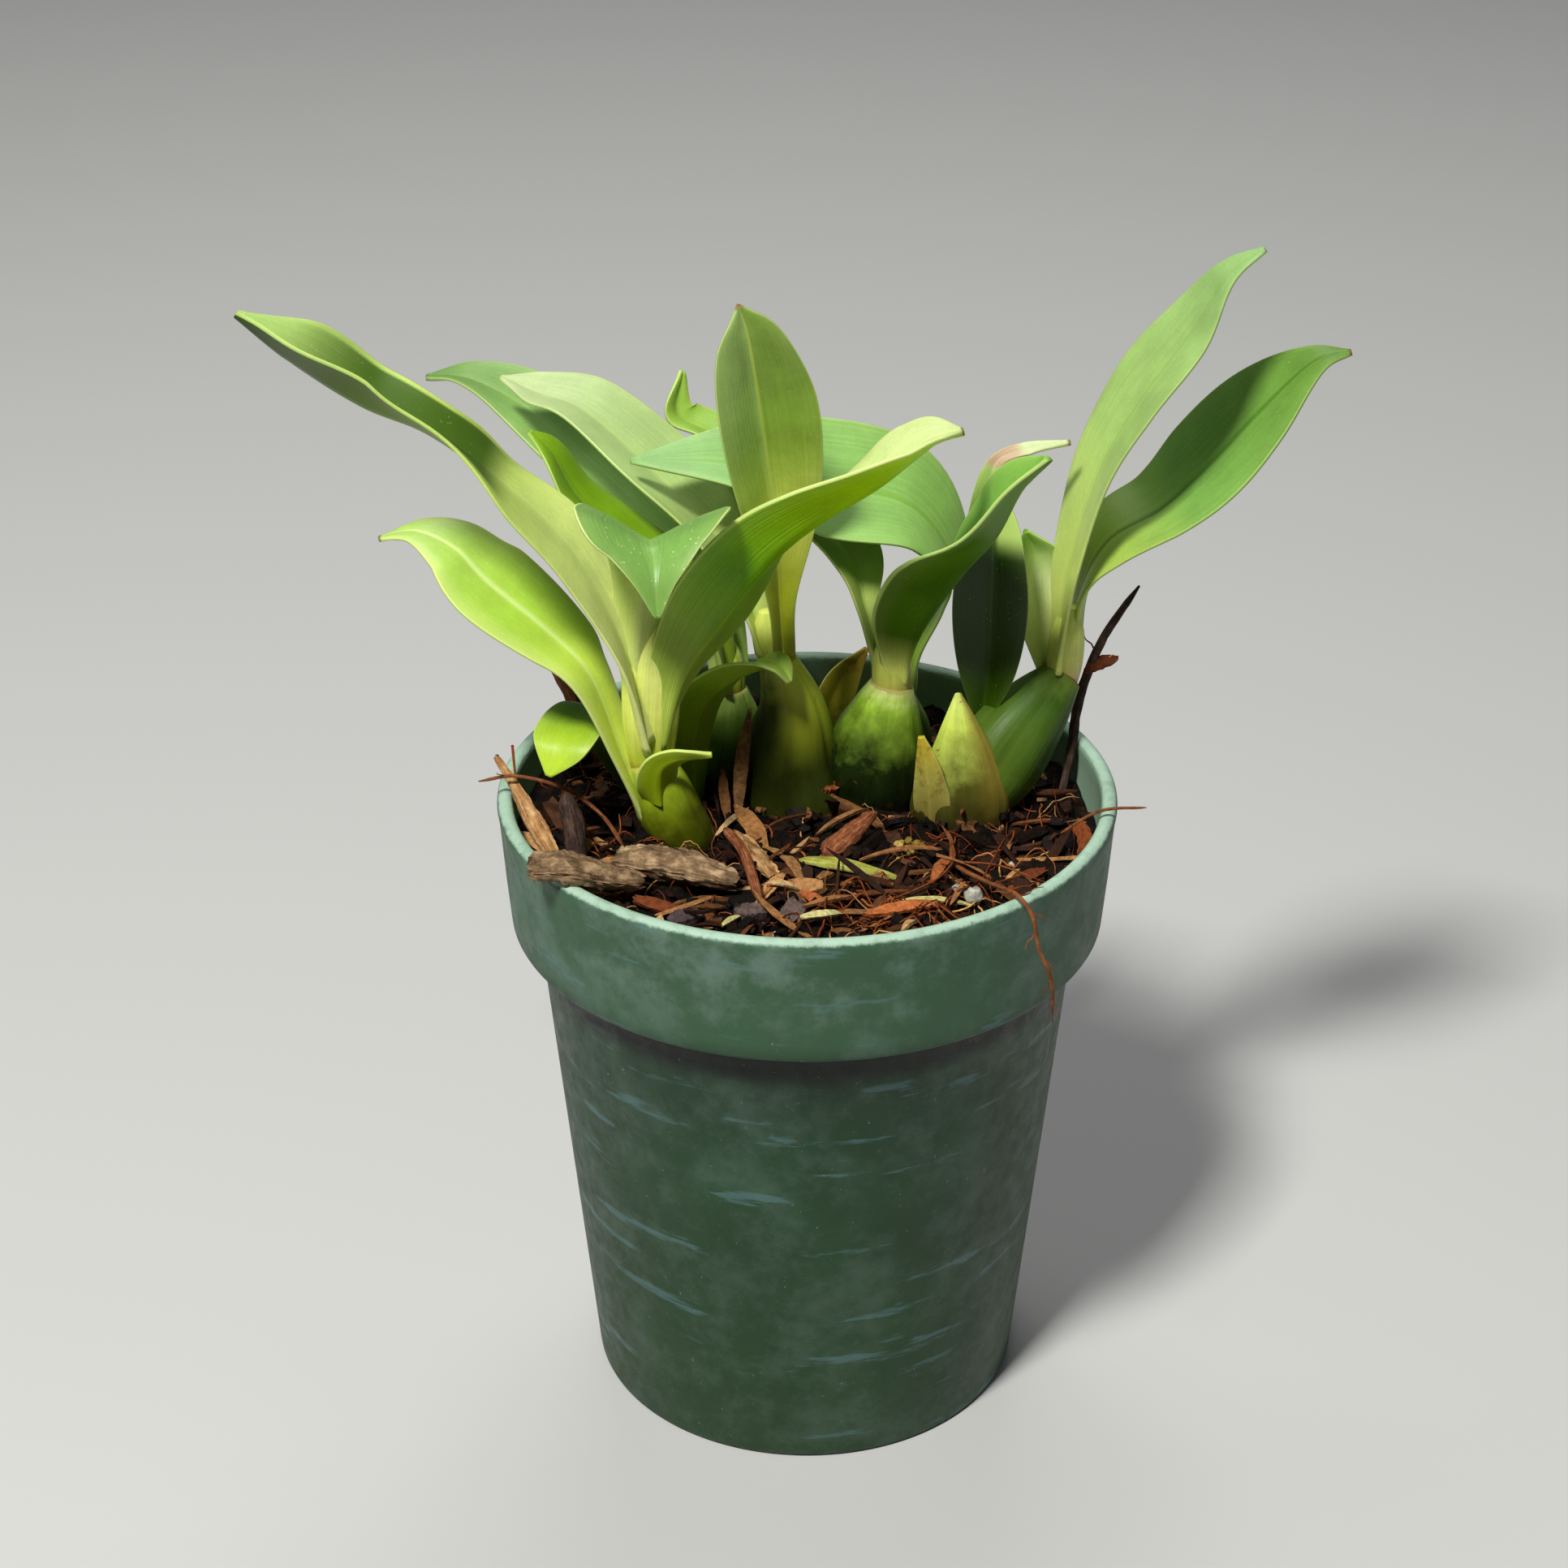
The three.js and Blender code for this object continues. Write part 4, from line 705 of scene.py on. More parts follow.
def rod(name, part, seed):
    """A section swept along a bent path and roughened. A torn one is flat with jagged ends."""
    torn, slim = part["kind"] in TORN_KINDS, part.get("slim", 1)
    rows = [(x, y, z, wide * slim, thick * slim) for x, y, z, wide, thick in part["rows"]]
    sides = TORN_SIDES if torn else ROD_SIDES
    steps = STEPS_PER_ROW * (len(rows) - 1)
    start = heading(rows, 0)
    level = Vector((1, 0, 0)) if abs(start.z) > 0.9 else Vector((-start.y, start.x, 0))
    vertices = []
    for i in range(steps + 1):
        u = i / steps
        x, y, z, wide, thick = through(rows, u)
        ahead = heading(rows, u)
        level = (level - ahead * level.dot(ahead)).normalized()
        across, normal = rolled(level, ahead.cross(level), part.get("face", 0))
        close = min(1.0, (0.8 if torn else 0.35) + min(u, 1 - u) * 9)
        for k in range(sides):
            angle = TURN * (k + 0.5) / sides
            bump, c, layer, s, jag = rod_point(u, angle, len(rows), part.get("rough", 0.12), seed, torn)
            point = Vector((x, y, z)) + across * (wide * close * bump * c)
            vertices.append(point + normal * (thick * close * layer * s) + ahead * jag)
    size = steps + 1, sides
    return mesh_object("bit_" + name, vertices, tube_faces(*size), {"grain": tube_map(*size)}, sharp=60)


# The pot

POT_SIDES = 160
CUTTER_SIDES = 32
SHARP = 50


def lathe(name, profile, sides):
    """A closed solid turned about Z from a profile of radius and height that starts and ends on the axis."""
    inner = profile[1:-1]
    vertices = [Vector((0, 0, profile[0][1]))]
    for radius, z in inner:
        vertices += [Vector((radius * c, radius * s, z)) for c, s in around(sides)]
    vertices.append(Vector((0, 0, profile[-1][1])))
    return mesh_object(name, vertices, turned_faces(len(inner), sides), sharp=SHARP)


def arc(cx, cz, radius, start, end, steps):
    """Points of an arc in the profile's plane, in degrees from the radius axis."""
    turns = [math.radians(start + (end - start) * i / steps) for i in range(steps + 1)]
    return [(cx + radius * math.cos(t), cz + radius * math.sin(t)) for t in turns]


def pot_profile():
    """The pot's wall: flat base, tapered wall, band, rolled lip, and back down inside to the floor."""
    taper = NECK_RADIUS - BASE_RADIUS
    outside = [(0, 0), (BASE_RADIUS - 0.8, 0)]
    outside += arc(BASE_RADIUS - 0.8, 0.8, 0.8, -60, 0, 3)
    outside += [(BASE_RADIUS + taper * t, 0.8 + (BAND_FOOT - 2) * t) for t in (0.25, 0.5, 0.75)]
    outside += [(NECK_RADIUS, BAND_FOOT - 1.2), (NECK_RADIUS + 0.3, BAND_FOOT - 0.6)]
    outside += [(NECK_RADIUS + 0.8, BAND_FOOT - 0.3)]
    outside += arc(BAND_FOOT_RADIUS - 0.9, BAND_FOOT + 0.9, 0.9, -90, 0, 5)
    outside += [(BAND_FOOT_RADIUS + 0.5, BAND_FOOT + 7), (RIM_RADIUS - 0.2, POT_HEIGHT - 2.4)]
    inside = [(RIM_RADIUS - 1.8, POT_HEIGHT - 2.4), (BAND_FOOT_RADIUS - WALL, BAND_FOOT + 2)]
    inside += [(NECK_RADIUS - WALL, BAND_FOOT - 1.6), (BASE_RADIUS - WALL + 0.1, WALL + 0.6)]
    inside += [(BASE_RADIUS - WALL - 0.6, WALL), (0, WALL)]
    return outside + arc(RIM_RADIUS - 1, POT_HEIGHT - 1, 1, 0, 180, 12) + inside


def pot_piece():
    """The tapered pot with its band, its rounded lip and its drain holes."""
    pot = lathe("pot_body", pot_profile(), POT_SIDES)
    cutters = []
    hole = [(0, -2), (DRAIN_RADIUS, -2), (DRAIN_RADIUS, WALL + 2), (0, WALL + 2)]
    for c, s in around(DRAIN_HOLES):
        bar = lathe("drain_cutter", hole, CUTTER_SIDES)
        bar.location = (DRAIN_CIRCLE * c * MM, DRAIN_CIRCLE * s * MM, 0)
        cut = pot.modifiers.new("drain", "BOOLEAN")
        cut.operation = "DIFFERENCE"
        cut.object = bar
        cutters.append(bar)
    bpy.context.view_layer.update()
    cut_mesh = bpy.data.meshes.new_from_object(pot.evaluated_get(bpy.context.evaluated_depsgraph_get()))
    pot.modifiers.clear()
    pot.data = cut_mesh
    cut_mesh.shade_smooth()
    cut_mesh.set_sharp_from_angle(angle=math.radians(SHARP))
    for bar in cutters:
        bpy.data.objects.remove(bar)
    return pot


# The potting mix

BED_SIDES = 210
BED_RINGS = 78
CHIPS = 620
SPLINTERS = 150
FIBRES = 460
SCATTER_REACH = 33.2
FIBRE_REACH = 33
FIBRE_LIMIT = 33.5
INNER_REACH = 34.6
TURN_BACK = 34.4
PEBBLE_RINGS = 9
PEBBLE_SIDES = 14


def mix_top(x, y):
    """The height of the mix, as the solid has it."""
    r = math.hypot(x, y) / (RIM_RADIUS - 3)
    broad = 0.7 * math.sin(0.55 * x + 1.3) * math.cos(0.48 * y)
    fine = 0.5 * math.sin(0.9 * x - 0.7 * y + 2) + 0.4 * math.cos(1.1 * y + 0.6 * x)
    front = 1.6 * min(-y / 30, 1) if y < 0 else 0
    hollow = 2.2 * math.exp(-((x - 27) ** 2 + (y + 4) ** 2) / 90)
    return MIX_LEVEL + (broad + fine + front - hollow) * (1 - 0.35 * r ** 6)


def crumbly_top(x, y):
    """The same height with the crumbs of the mix on it."""
    coarse = noise.noise(Vector((x * 0.45, y * 0.45, 3)))
    crumbs = noise.noise(Vector((x * 1.3, y * 1.3, 9)))
    dust = noise.noise(Vector((x * 3.1, y * 3.1, 21)))
    return mix_top(x, y) + 0.7 * coarse + 0.55 * abs(crumbs) + 0.25 * dust


def mix_bed():
    """The bed of mix: a crumbly top and the plug below it, down to the pot's floor."""
    vertices = [Vector((0, 0, crumbly_top(0, 0)))]
    for i in range(1, BED_RINGS + 1):
        radius = (RIM_RADIUS - 2 - GAP) * (i / BED_RINGS) ** 0.85
        spots = [(radius * c, radius * s) for c, s in around(BED_SIDES)]
        vertices += [Vector((x, y, crumbly_top(x, y))) for x, y in spots]
    walls = [(BAND_FOOT_RADIUS - WALL - GAP, BAND_FOOT + 2.2), (NECK_RADIUS - WALL - GAP, BAND_FOOT - 1.4),
             (BASE_RADIUS - WALL - GAP, WALL + GAP + 0.8), (BASE_RADIUS - WALL - GAP - 0.9, WALL + GAP)]
    for radius, z in walls:
        vertices += [Vector((radius * c, radius * s, z)) for c, s in around(BED_SIDES)]
    vertices.append(Vector((0, 0, WALL + GAP)))
    faces = [[face[0], *reversed(face[1:])] for face in turned_faces(BED_RINGS + len(walls), BED_SIDES)]
    return mesh_object("mix_bed", vertices, faces)


class Heap:
    """Many small closed bodies in one mesh, each with two chance numbers for its colour."""

    def __init__(self, seed):
        self.rng = random.Random(seed)
        self.vertices, self.faces, self.pairs = [], [], []

    def add(self, vertices, faces):
        base = len(self.vertices)
        chance = (self.rng.random(), self.rng.random())
        self.vertices += vertices
        self.faces += [[base + c for c in face] for face in faces]
        self.pairs += [chance for face in faces for _ in face]

    def piece(self, name, sharp=None):
        return mesh_object(name, self.vertices, self.faces, {"chance": self.pairs}, sharp)


def scrap(rng, long, wide, thick, point, curl=0.0, nx=6, ny=3):
    """A scrap of bark or dry leaf: uneven faces, ends narrowed by point, bent up by curl millimetres."""
    sway = rng.uniform(-0.06, 0.06) * long
    points = []
    for side in (1, -1):
        for i in range(nx):
            t = 2 * i / (nx - 1) - 1
            narrow = 1 - point * abs(t) ** 2.2
            for j in range(ny):
                x = t * long / 2 + (0.1 * long * (rng.random() - 0.5) if i in (0, nx - 1) else 0)
                y = (j / (ny - 1) - 0.5) * wide * narrow + 0.08 * wide * narrow * (rng.random() - 0.5)
                z = side * thick / 2 * (0.7 + 0.6 * rng.random()) + curl * (1 - t * t)
                points.append(Vector((x, y + sway * t * t, z)))
    return points, scrap_faces(nx, ny)


def scrap_faces(nx, ny):
    """The faces over, under and round a scrap of nx by ny points on each side."""
    under, faces = nx * ny, []
    for i in range(nx - 1):
        a, b = i * ny, (i + 1) * ny
        for j in range(ny - 1):
            faces.append([a + j, b + j, b + j + 1, a + j + 1])
            faces.append([under + a + j, under + a + j + 1, under + b + j + 1, under + b + j])
        faces.append([a, under + a, under + b, b])
        faces.append([a + ny - 1, b + ny - 1, under + b + ny - 1, under + a + ny - 1])
    for j in range(ny - 1):
        b = (nx - 1) * ny + j
        faces.append([j, j + 1, under + j + 1, under + j])
        faces.append([b, under + b, under + b + 1, b + 1])
    return faces


def turned(points, yaw, tilt, roll, place):
    """Points turned by roll about X, tilt about Y and yaw about Z, then moved to place."""
    out = []
    for p in points:
        y, z = p.y * math.cos(roll) - p.z * math.sin(roll), p.y * math.sin(roll) + p.z * math.cos(roll)
        x, z = p.x * math.cos(tilt) + z * math.sin(tilt), -p.x * math.sin(tilt) + z * math.cos(tilt)
        x, y = x * math.cos(yaw) - y * math.sin(yaw), x * math.sin(yaw) + y * math.cos(yaw)
        out.append(Vector((x, y, z)) + place)
    return out


def on_mix(rng, long):
    """A seeded place on the mix where a scrap of this length stays inside the pot."""
    turn, reach = rng.uniform(0, TURN), SCATTER_REACH * math.sqrt(rng.random())
    reach = min(reach, INNER_REACH - long / 2)
    x, y = reach * math.cos(turn), reach * math.sin(turn)
    return Vector((x, y, crumbly_top(x, y)))


def chips_piece():
    """Loose chips of bark all over the mix, from crumbs to pieces of several millimetres."""
    heap = Heap(5)
    rng = heap.rng
    for _ in range(CHIPS):
        size = rng.random() ** 2.2
        long, wide, thick = 1 + 5.5 * size * rng.uniform(0.6, 1.3), 0.5 + 1.9 * size, 0.25 + 0.75 * size
        points, faces = scrap(rng, long, wide, thick, rng.uniform(0.1, 0.6))
        place = on_mix(rng, long) + Vector((0, 0, rng.uniform(0, 0.6)))
        points = turned(points, rng.uniform(0, TURN), rng.gauss(0, 0.3), rng.gauss(0, 0.45), place)
        heap.add(points, faces)
    return heap.piece("mix_chips", 35)


def splinters_piece():
    """Long thin splinters of bark that lie across the chips, some of them tipped up."""
    heap = Heap(21)
    rng = heap.rng
    for i in range(SPLINTERS):
        long = rng.uniform(4, 10.5)
        wide, thick = rng.uniform(0.35, 1.3), rng.uniform(0.15, 0.45)
        points, faces = scrap(rng, long, wide, thick, 0.85, rng.uniform(-0.4, 0.9))
        tilt = rng.gauss(0, 0.16) if i % 4 else rng.uniform(0.25, 0.6)
        place = on_mix(rng, long) + Vector((0, 0, 0.5 + abs(tilt) * long * 0.35))
        heap.add(turned(points, rng.uniform(0, TURN), tilt, rng.gauss(0, 0.5), place), faces)
    return heap.piece("mix_splinters", 40)


def scraps_piece(kind):
    """The placed scraps of one kind."""
    heap = Heap(len(kind))
    for x, y, lift, yaw, tilt, roll, long, wide, thick, point, curl in SCRAPS[kind]:
        points, faces = scrap(heap.rng, long, wide, thick, point, curl, 14, 7)
        place = Vector((x, y, mix_top(x, y) + lift))
        heap.add(turned(points, *map(math.radians, (yaw, tilt, roll)), place), faces)
    return heap.piece("scraps_" + kind, 50)


def pebble(rng, place, size):
    """A rounded lump with an uneven skin."""
    shift = Vector((rng.uniform(0, 50), 0, 0))
    points = [place + Vector((0, 0, -0.8 * size))]
    for i in range(1, PEBBLE_RINGS + 1):
        lat = math.pi * (i / (PEBBLE_RINGS + 1) - 0.5)
        for c, s in around(PEBBLE_SIDES):
            out = Vector((math.cos(lat) * c, math.cos(lat) * s, 0.8 * math.sin(lat)))
            points.append(place + out * (size * (1 + 0.45 * noise.noise(out * 1.6 + shift))))
    points.append(place + Vector((0, 0, 0.8 * size)))
    return points, turned_faces(PEBBLE_RINGS, PEBBLE_SIDES)


def lumps_piece(name, seed, spots):
    """Small lumps at x, y, height over the mix and size."""
    heap = Heap(seed)
    for x, y, lift, size in spots:
        heap.add(*pebble(heap.rng, Vector((x, y, mix_top(x, y) + lift)), size))
    return heap.piece(name)


# Fibres and hair roots

FIBRE_STEPS = 12
FIBRE_SIDES = 5
HAIR_SIDES = 6
HAIR_STEPS_PER_ROW = 5


def thread(stations, sides):
    """A thin round thread through stations of a point, the two directions across it and its radius."""
    points = []
    for point, level, up, radius in stations:
        points += [point + level * (radius * c) + up * (radius * s) for c, s in around(sides)]
    return points, tube_faces(len(stations), sides)


def strand(rng, x, y, yaw, long, radius, lift):
    """A thin curved fibre that arches over the mix."""
    bend, wiggle = rng.gauss(0, 0.9), rng.uniform(0, 6)
    steps, path = FIBRE_STEPS, []
    for i in range(steps + 1):
        t = i / steps
        z = crumbly_top(x, y) + 0.15 + lift * math.sin(math.pi * t) + 0.15 * math.sin(5 * t + wiggle)
        path.append(Vector((x, y, z)))
        x += long / steps * math.cos(yaw)
        y += long / steps * math.sin(yaw)
        yaw += bend / steps + 0.16 * math.sin(7 * t + wiggle)
        reach = math.hypot(x, y)
        if reach > INNER_REACH:
            yaw += 0.9
            x, y = x * TURN_BACK / reach, y * TURN_BACK / reach
    stations = []
    for i, p in enumerate(path):
        ahead = (path[min(i + 1, steps)] - path[max(i - 1, 0)]).normalized()
        level = Vector((-ahead.y, ahead.x, 0.001)).normalized()
        stations.append((p, level, ahead.cross(level), radius * (1 - 0.55 * i / steps)))
    return thread(stations, FIBRE_SIDES)


def fibres_piece():
    """Fine reddish fibres, thickest at the front right."""
    heap = Heap(8)
    rng = heap.rng
    for i in range(FIBRES):
        if i % 3:
            turn, reach = rng.uniform(0, TURN), FIBRE_REACH * math.sqrt(rng.random())
            x, y = reach * math.cos(turn), reach * math.sin(turn)
        else:
            x, y = rng.gauss(12, 6), rng.gauss(-22, 4.5)
        if math.hypot(x, y) > FIBRE_LIMIT:
            continue
        long, yaw = rng.uniform(2.5, 11), rng.uniform(0, 6.3)
        heap.add(*strand(rng, x, y, yaw, long, rng.uniform(0.05, 0.16), rng.uniform(0, 1.6)))
    return heap.piece("mix_fibres")


def hair(path, radius):
    """A hair root along a path, thinner towards its tip."""
    last = len(path) - 1
    rows = [(*p, radius * (1 - 0.6 * i / last)) for i, p in enumerate(path)]
    stations = []
    steps = HAIR_STEPS_PER_ROW * last
    for i in range(steps + 1):
        u = i / steps
        *point, thin = through(rows, u)
        ahead = heading(rows, u)
        level = ahead.cross(Vector((0.31, 0.17, 0.93))).normalized()
        stations.append((Vector(point), level, ahead.cross(level), thin))
    return thread(stations, HAIR_SIDES)


def rootlets_piece():
    """Hair roots that branch off the bare roots, and loose roots on the mix."""
    heap = Heap(12)
    for name, spots in ROOTLETS.items():
        rows = DEBRIS[name]["rows"]
        for u, dx, dy, dz, radius in spots:
            foot, aim, along = Vector(through(rows, u)[:3]), Vector((dx, dy, dz)), heading(rows, u)
            path = [foot, foot + aim * 0.35 + along * 0.3, foot + aim * 0.7, foot + aim * 1.05 + along * 0.4]
            heap.add(*hair(path, radius))
    for path, radius in LOOSE_ROOTS:
        heap.add(*hair(path, radius))
    return heap.piece("rootlets")


# Materials

def srgb(colour):
    """A screen colour as the linear colour that a shader takes."""
    shares = [c / 255 for c in colour]
    return (*(s / 12.92 if s <= 0.04045 else ((s + 0.055) / 1.055) ** 2.4 for s in shares), 1.0)


class Graph:
    """A material's nodes, with short calls for what the looks below are made of."""

    def __init__(self, name, sockets):
        self.material = bpy.data.materials.new(name)
        self.material.use_nodes = True
        self.tree = self.material.node_tree
        self.shader = self.tree.nodes["Principled BSDF"]
        for title, value in sockets.items():
            self.shader.inputs[title].default_value = value

    def add(self, kind, inputs=None, **settings):
        node = self.tree.nodes.new("ShaderNode" + kind)
        for key, value in settings.items():
            setattr(node, key, value)
        for socket, value in (inputs or {}).items():
            if isinstance(value, bpy.types.NodeSocket):
                self.tree.links.new(value, node.inputs[socket])
            else:
                node.inputs[socket].default_value = value
        return node

    def maths(self, operation, a, b=0.0, c=0.0):
        return self.add("Math", {0: a, 1: b, 2: c}, operation=operation).outputs[0]

    def times(self, a, b):
        return self.maths("MULTIPLY", a, b)

    def scaled(self, a, by, plus):
        return self.maths("MULTIPLY_ADD", a, by, plus)

    def mix(self, share, a, b, blend="MIX"):
        return self.add("Mix", {0: share, 6: a, 7: b}, data_type="RGBA", blend_type=blend).outputs[2]

    def tint(self, share, colour, paint):
        return self.mix(share, colour, srgb(paint))

    def shaded(self, colour, shade):
        tone = self.add("CombineColor", {0: shade, 1: shade, 2: shade}).outputs[0]
        return self.mix(1.0, colour, tone, "MULTIPLY")

    def spread(self, value, low, high, to_low=0.0, to_high=1.0, smooth=True):
        kind = "SMOOTHSTEP" if smooth else "LINEAR"
        inputs = {"Value": value, "From Min": low, "From Max": high, "To Min": to_low, "To Max": to_high}
        return self.add("MapRange", inputs, interpolation_type=kind).outputs[0]

    def between(self, noise, low, high):
        return self.spread(noise, 0.3, 0.7, low, high)

    def over(self, value, low, high, to_low=0.0, to_high=1.0):
        return self.spread(value, low * MM, high * MM, to_low, to_high)

    def ramp(self, value, stops):
        node = self.add("ValToRGB", {0: value})
        elements = node.color_ramp.elements
        while len(elements) < len(stops):
            elements.new(0.5)
        for element, (place, colour) in zip(elements, stops):
            element.position = place
            element.color = srgb(colour)
        return node.outputs[0]

    def split(self, vector):
        return self.add("SeparateXYZ", {0: vector}).outputs

    def join(self, x, y, z):
        return self.add("CombineXYZ", {0: x, 1: y, 2: z}).outputs[0]

    def place(self):
        return self.add("TexCoord").outputs["Object"]

    def chart(self, title):
        return self.split(self.add("UVMap", uv_map=title).outputs[0])

    def noise(self, vector, scale, detail, rough=0.5):
        inputs = {"Vector": vector, "Scale": scale, "Detail": detail, "Roughness": rough}
        return self.add("TexNoise", inputs).outputs[0]

    def spots(self, vector, scale, detail, rough, low, high, share):
        return self.spread(self.noise(vector, scale, detail, rough), low, high, 0.0, share)

    def finish(self, colour, roughness, height, distance, strength):
        bump = self.add("Bump", {"Height": height, "Distance": distance, "Strength": strength})
        pairs = {"Base Color": colour, "Roughness": roughness, "Normal": bump.outputs[0]}
        for title, value in pairs.items():
            self.tree.links.new(value, self.shader.inputs[title])
        return self.material


def flesh(weight, red, depth, gloss, coat, coat_roughness):
    """Shader settings of plant tissue: light that goes in a little, and a waxy coat."""
    return {"Subsurface Weight": weight, "Subsurface Radius": (red, 1.0, 0.2), "Subsurface Scale": depth,
            "Specular IOR Level": gloss, "Coat Weight": coat, "Coat Roughness": coat_roughness}


def leaf_faces(g, leaf, along, across, under):
    """The colours of a leaf's two faces, and where given a colour for each side of the midrib, one side made
    paler with painted light.
    """
    stops = leaf.get("stops", (0.05, 0.5, 0.95))
    top, below = (g.ramp(along, list(zip(stops, leaf.get(side, leaf["top"])))) for side in ("top", "under"))
    colour = g.mix(under, top, below)
    # Painted light: one side of the midrib made paler.
    if "halves" in leaf:
        left, right = map(srgb, leaf["halves"])
        tint = g.mix(g.spread(across, 0.49, 0.51), left, right)
        colour = g.mix(g.spread(along, 0.3, 0.62, 0.0, 0.75), colour, tint)
    return colour


def leaf_painted_shading(g, painted_shading, colour, along, across, under):
    """Painted shading in the hollow of the upper face: a dark colour paints the fold's shade, a light one a
    lit margin.
    """
    shading_colour, share, left, right, low, high = painted_shading
    window = g.spread(across, left - 0.1, left + 0.02)
    window = g.times(window, g.spread(across, right - 0.06, right, 1.0, 0.0))
    window = g.times(window, g.spread(along, low - 0.03, low + 0.04))
    window = g.times(window, g.spread(along, high - 0.2, high + 0.02, share, 0.0))
    return g.tint(g.times(window, g.maths("SUBTRACT", 1.0, under)), colour, shading_colour)


def leaf_margin(g, leaf, colour, off):
    """A pale thin edge, and a pale strip inside it: faint on most leaves, a painted highlight on leaf_a2."""
    pale_strip_and_sheen = g.times(g.spread(off, 0.55, 1.0, 0.0, leaf.get("pale_strip_and_sheen", 0.18)), leaf["margin"])
    colour = g.tint(pale_strip_and_sheen, colour, PALE)
    return g.tint(g.spread(off, 0.965, 0.995, 0.0, leaf["margin"]), colour, PALE)


def leaf_specks(g, leaf, colour):
    """Scattered tiny pale specks."""
    dots = g.add("TexVoronoi", {"Vector": g.place(), "Scale": 1500.0}).outputs["Distance"]
    scatter = g.spread(g.noise(g.place(), 500.0, 2.0), 0.5, 0.62)
    return g.tint(g.times(g.spread(dots, 0.12, 0.2, leaf.get("specks", 0.15), 0.0), scatter), colour, SPECK)


def leaf_age(g, leaf, colour, along, fibres, blotch):
    """The withered stretch, the brown tip and the stains of a leaf that has them."""
    if "dry" in leaf:
        start, end = leaf["dry"]
        ragged = g.scaled(g.maths("SUBTRACT", blotch, 0.5), 0.12, along)
        dry = g.times(g.spread(ragged, start, start + 0.05), g.spread(ragged, end, end + 0.06, 0.9, 0.1))
        colour = g.mix(dry, colour, g.ramp(fibres, WITHERED))
    if "tip" in leaf:
        colour = g.tint(g.spread(along, 0.984, 0.996, 0.0, 0.8), colour, leaf["tip"])
    if leaf.get("papery"):
        stain = g.spots(g.place(), 420.0, 4.0, 0.65, 0.5, 0.68, 0.7)
        colour = g.tint(stain, colour, (120, 76, 34))
    return colour


def leaf_material(name, leaf):
    """A living leaf: two faces, pale midrib and margin, fine lengthwise veins and a soft waxy gloss."""
    g = Graph("leaf_" + name, flesh(0.1, 0.5, 0.0015, leaf.get("gloss", 0.3), 0.04, 0.35))
    along, across, _ = g.chart("blade")
    under = g.chart("face")[0]
    off = g.maths("ABSOLUTE", g.scaled(across, 2.0, -1.0))
    ridge, mottle = leaf.get("veins", 0.04), leaf.get("mottle", 0.13)
    lines = g.join(g.times(along, 3.0), g.times(across, 60.0), sum(map(ord, name)) * 0.37)
    fibres = g.noise(lines, 1.0, 3.0)
    veins = g.maths("SINE", g.times(across, 170.0))
    veins = g.maths("POWER", g.scaled(veins, 0.5, 0.5), 2.0)
    veins = g.times(veins, g.spread(fibres, 0.3, 0.65, 0.2, 1.0))
    blotch = g.noise(g.place(), 120.0, 4.0, 0.6)
    cells = g.noise(g.place(), 2400.0, 2.0)
    shade = g.between(blotch, 1 - mottle, 1 + 0.6 * mottle)
    shade = g.times(shade, g.spread(fibres, 0.25, 0.75, 0.98 - 1.5 * ridge, 1.02 + ridge))
    shade = g.maths("SUBTRACT", shade, g.times(veins, ridge))
    shade = g.times(shade, g.between(cells, 0.97, 1.02))
    colour = g.shaded(leaf_faces(g, leaf, along, across, under), shade)
    rib_colour, rib_share, rib_width = leaf["rib"]
    rib = g.times(g.spread(off, 0.0, rib_width, rib_share, 0.0), g.scaled(under, -0.5, 1.0))
    colour = g.tint(rib, colour, rib_colour)
    # Painted shade in the fold of leaf_a1 and painted light in that of leaf_d4.
    if "painted_shading" in leaf:
        colour = leaf_painted_shading(g, leaf["painted_shading"], colour, along, across, under)
    colour = leaf_specks(g, leaf, leaf_margin(g, leaf, colour, off))
    colour = leaf_age(g, leaf, colour, along, fibres, blotch)
    height = g.maths("ADD", g.times(veins, 5 * ridge), g.times(fibres, 0.3 + 4 * ridge))
    roughness = g.between(blotch, 0.33, 0.45)
    return g.finish(colour, roughness, g.scaled(cells, 0.12, height), 0.0001, 0.5)


def round_chart(g, stretch):
    """The share along a bulb, the cosine and sine round it, and a vector that closes on itself round it."""
    along, share, _ = g.chart("bulb")
    circle = g.times(share, TURN)
    cosine, sine = g.maths("COSINE", circle), g.maths("SINE", circle)
    return along, cosine, sine, g.join(cosine, sine, g.times(along, stretch))


def bulb_lit_side_and_stain(g, shape, colour, along, cosine, sine):
    """A side of another colour from a height upwards: painted light for a lit shoulder, a stain for a brown
    one.
    """
    towards, side_colour, start = shape["lit_side_and_stain"]
    turn = math.radians(towards)
    facing = g.maths("ADD", g.times(cosine, math.cos(turn)), g.times(sine, math.sin(turn)))
    share = g.times(g.spread(facing, 0.1, 0.9, 0.0, 0.85), g.spread(along, start, start + 0.3))
    return g.tint(share, colour, side_colour)


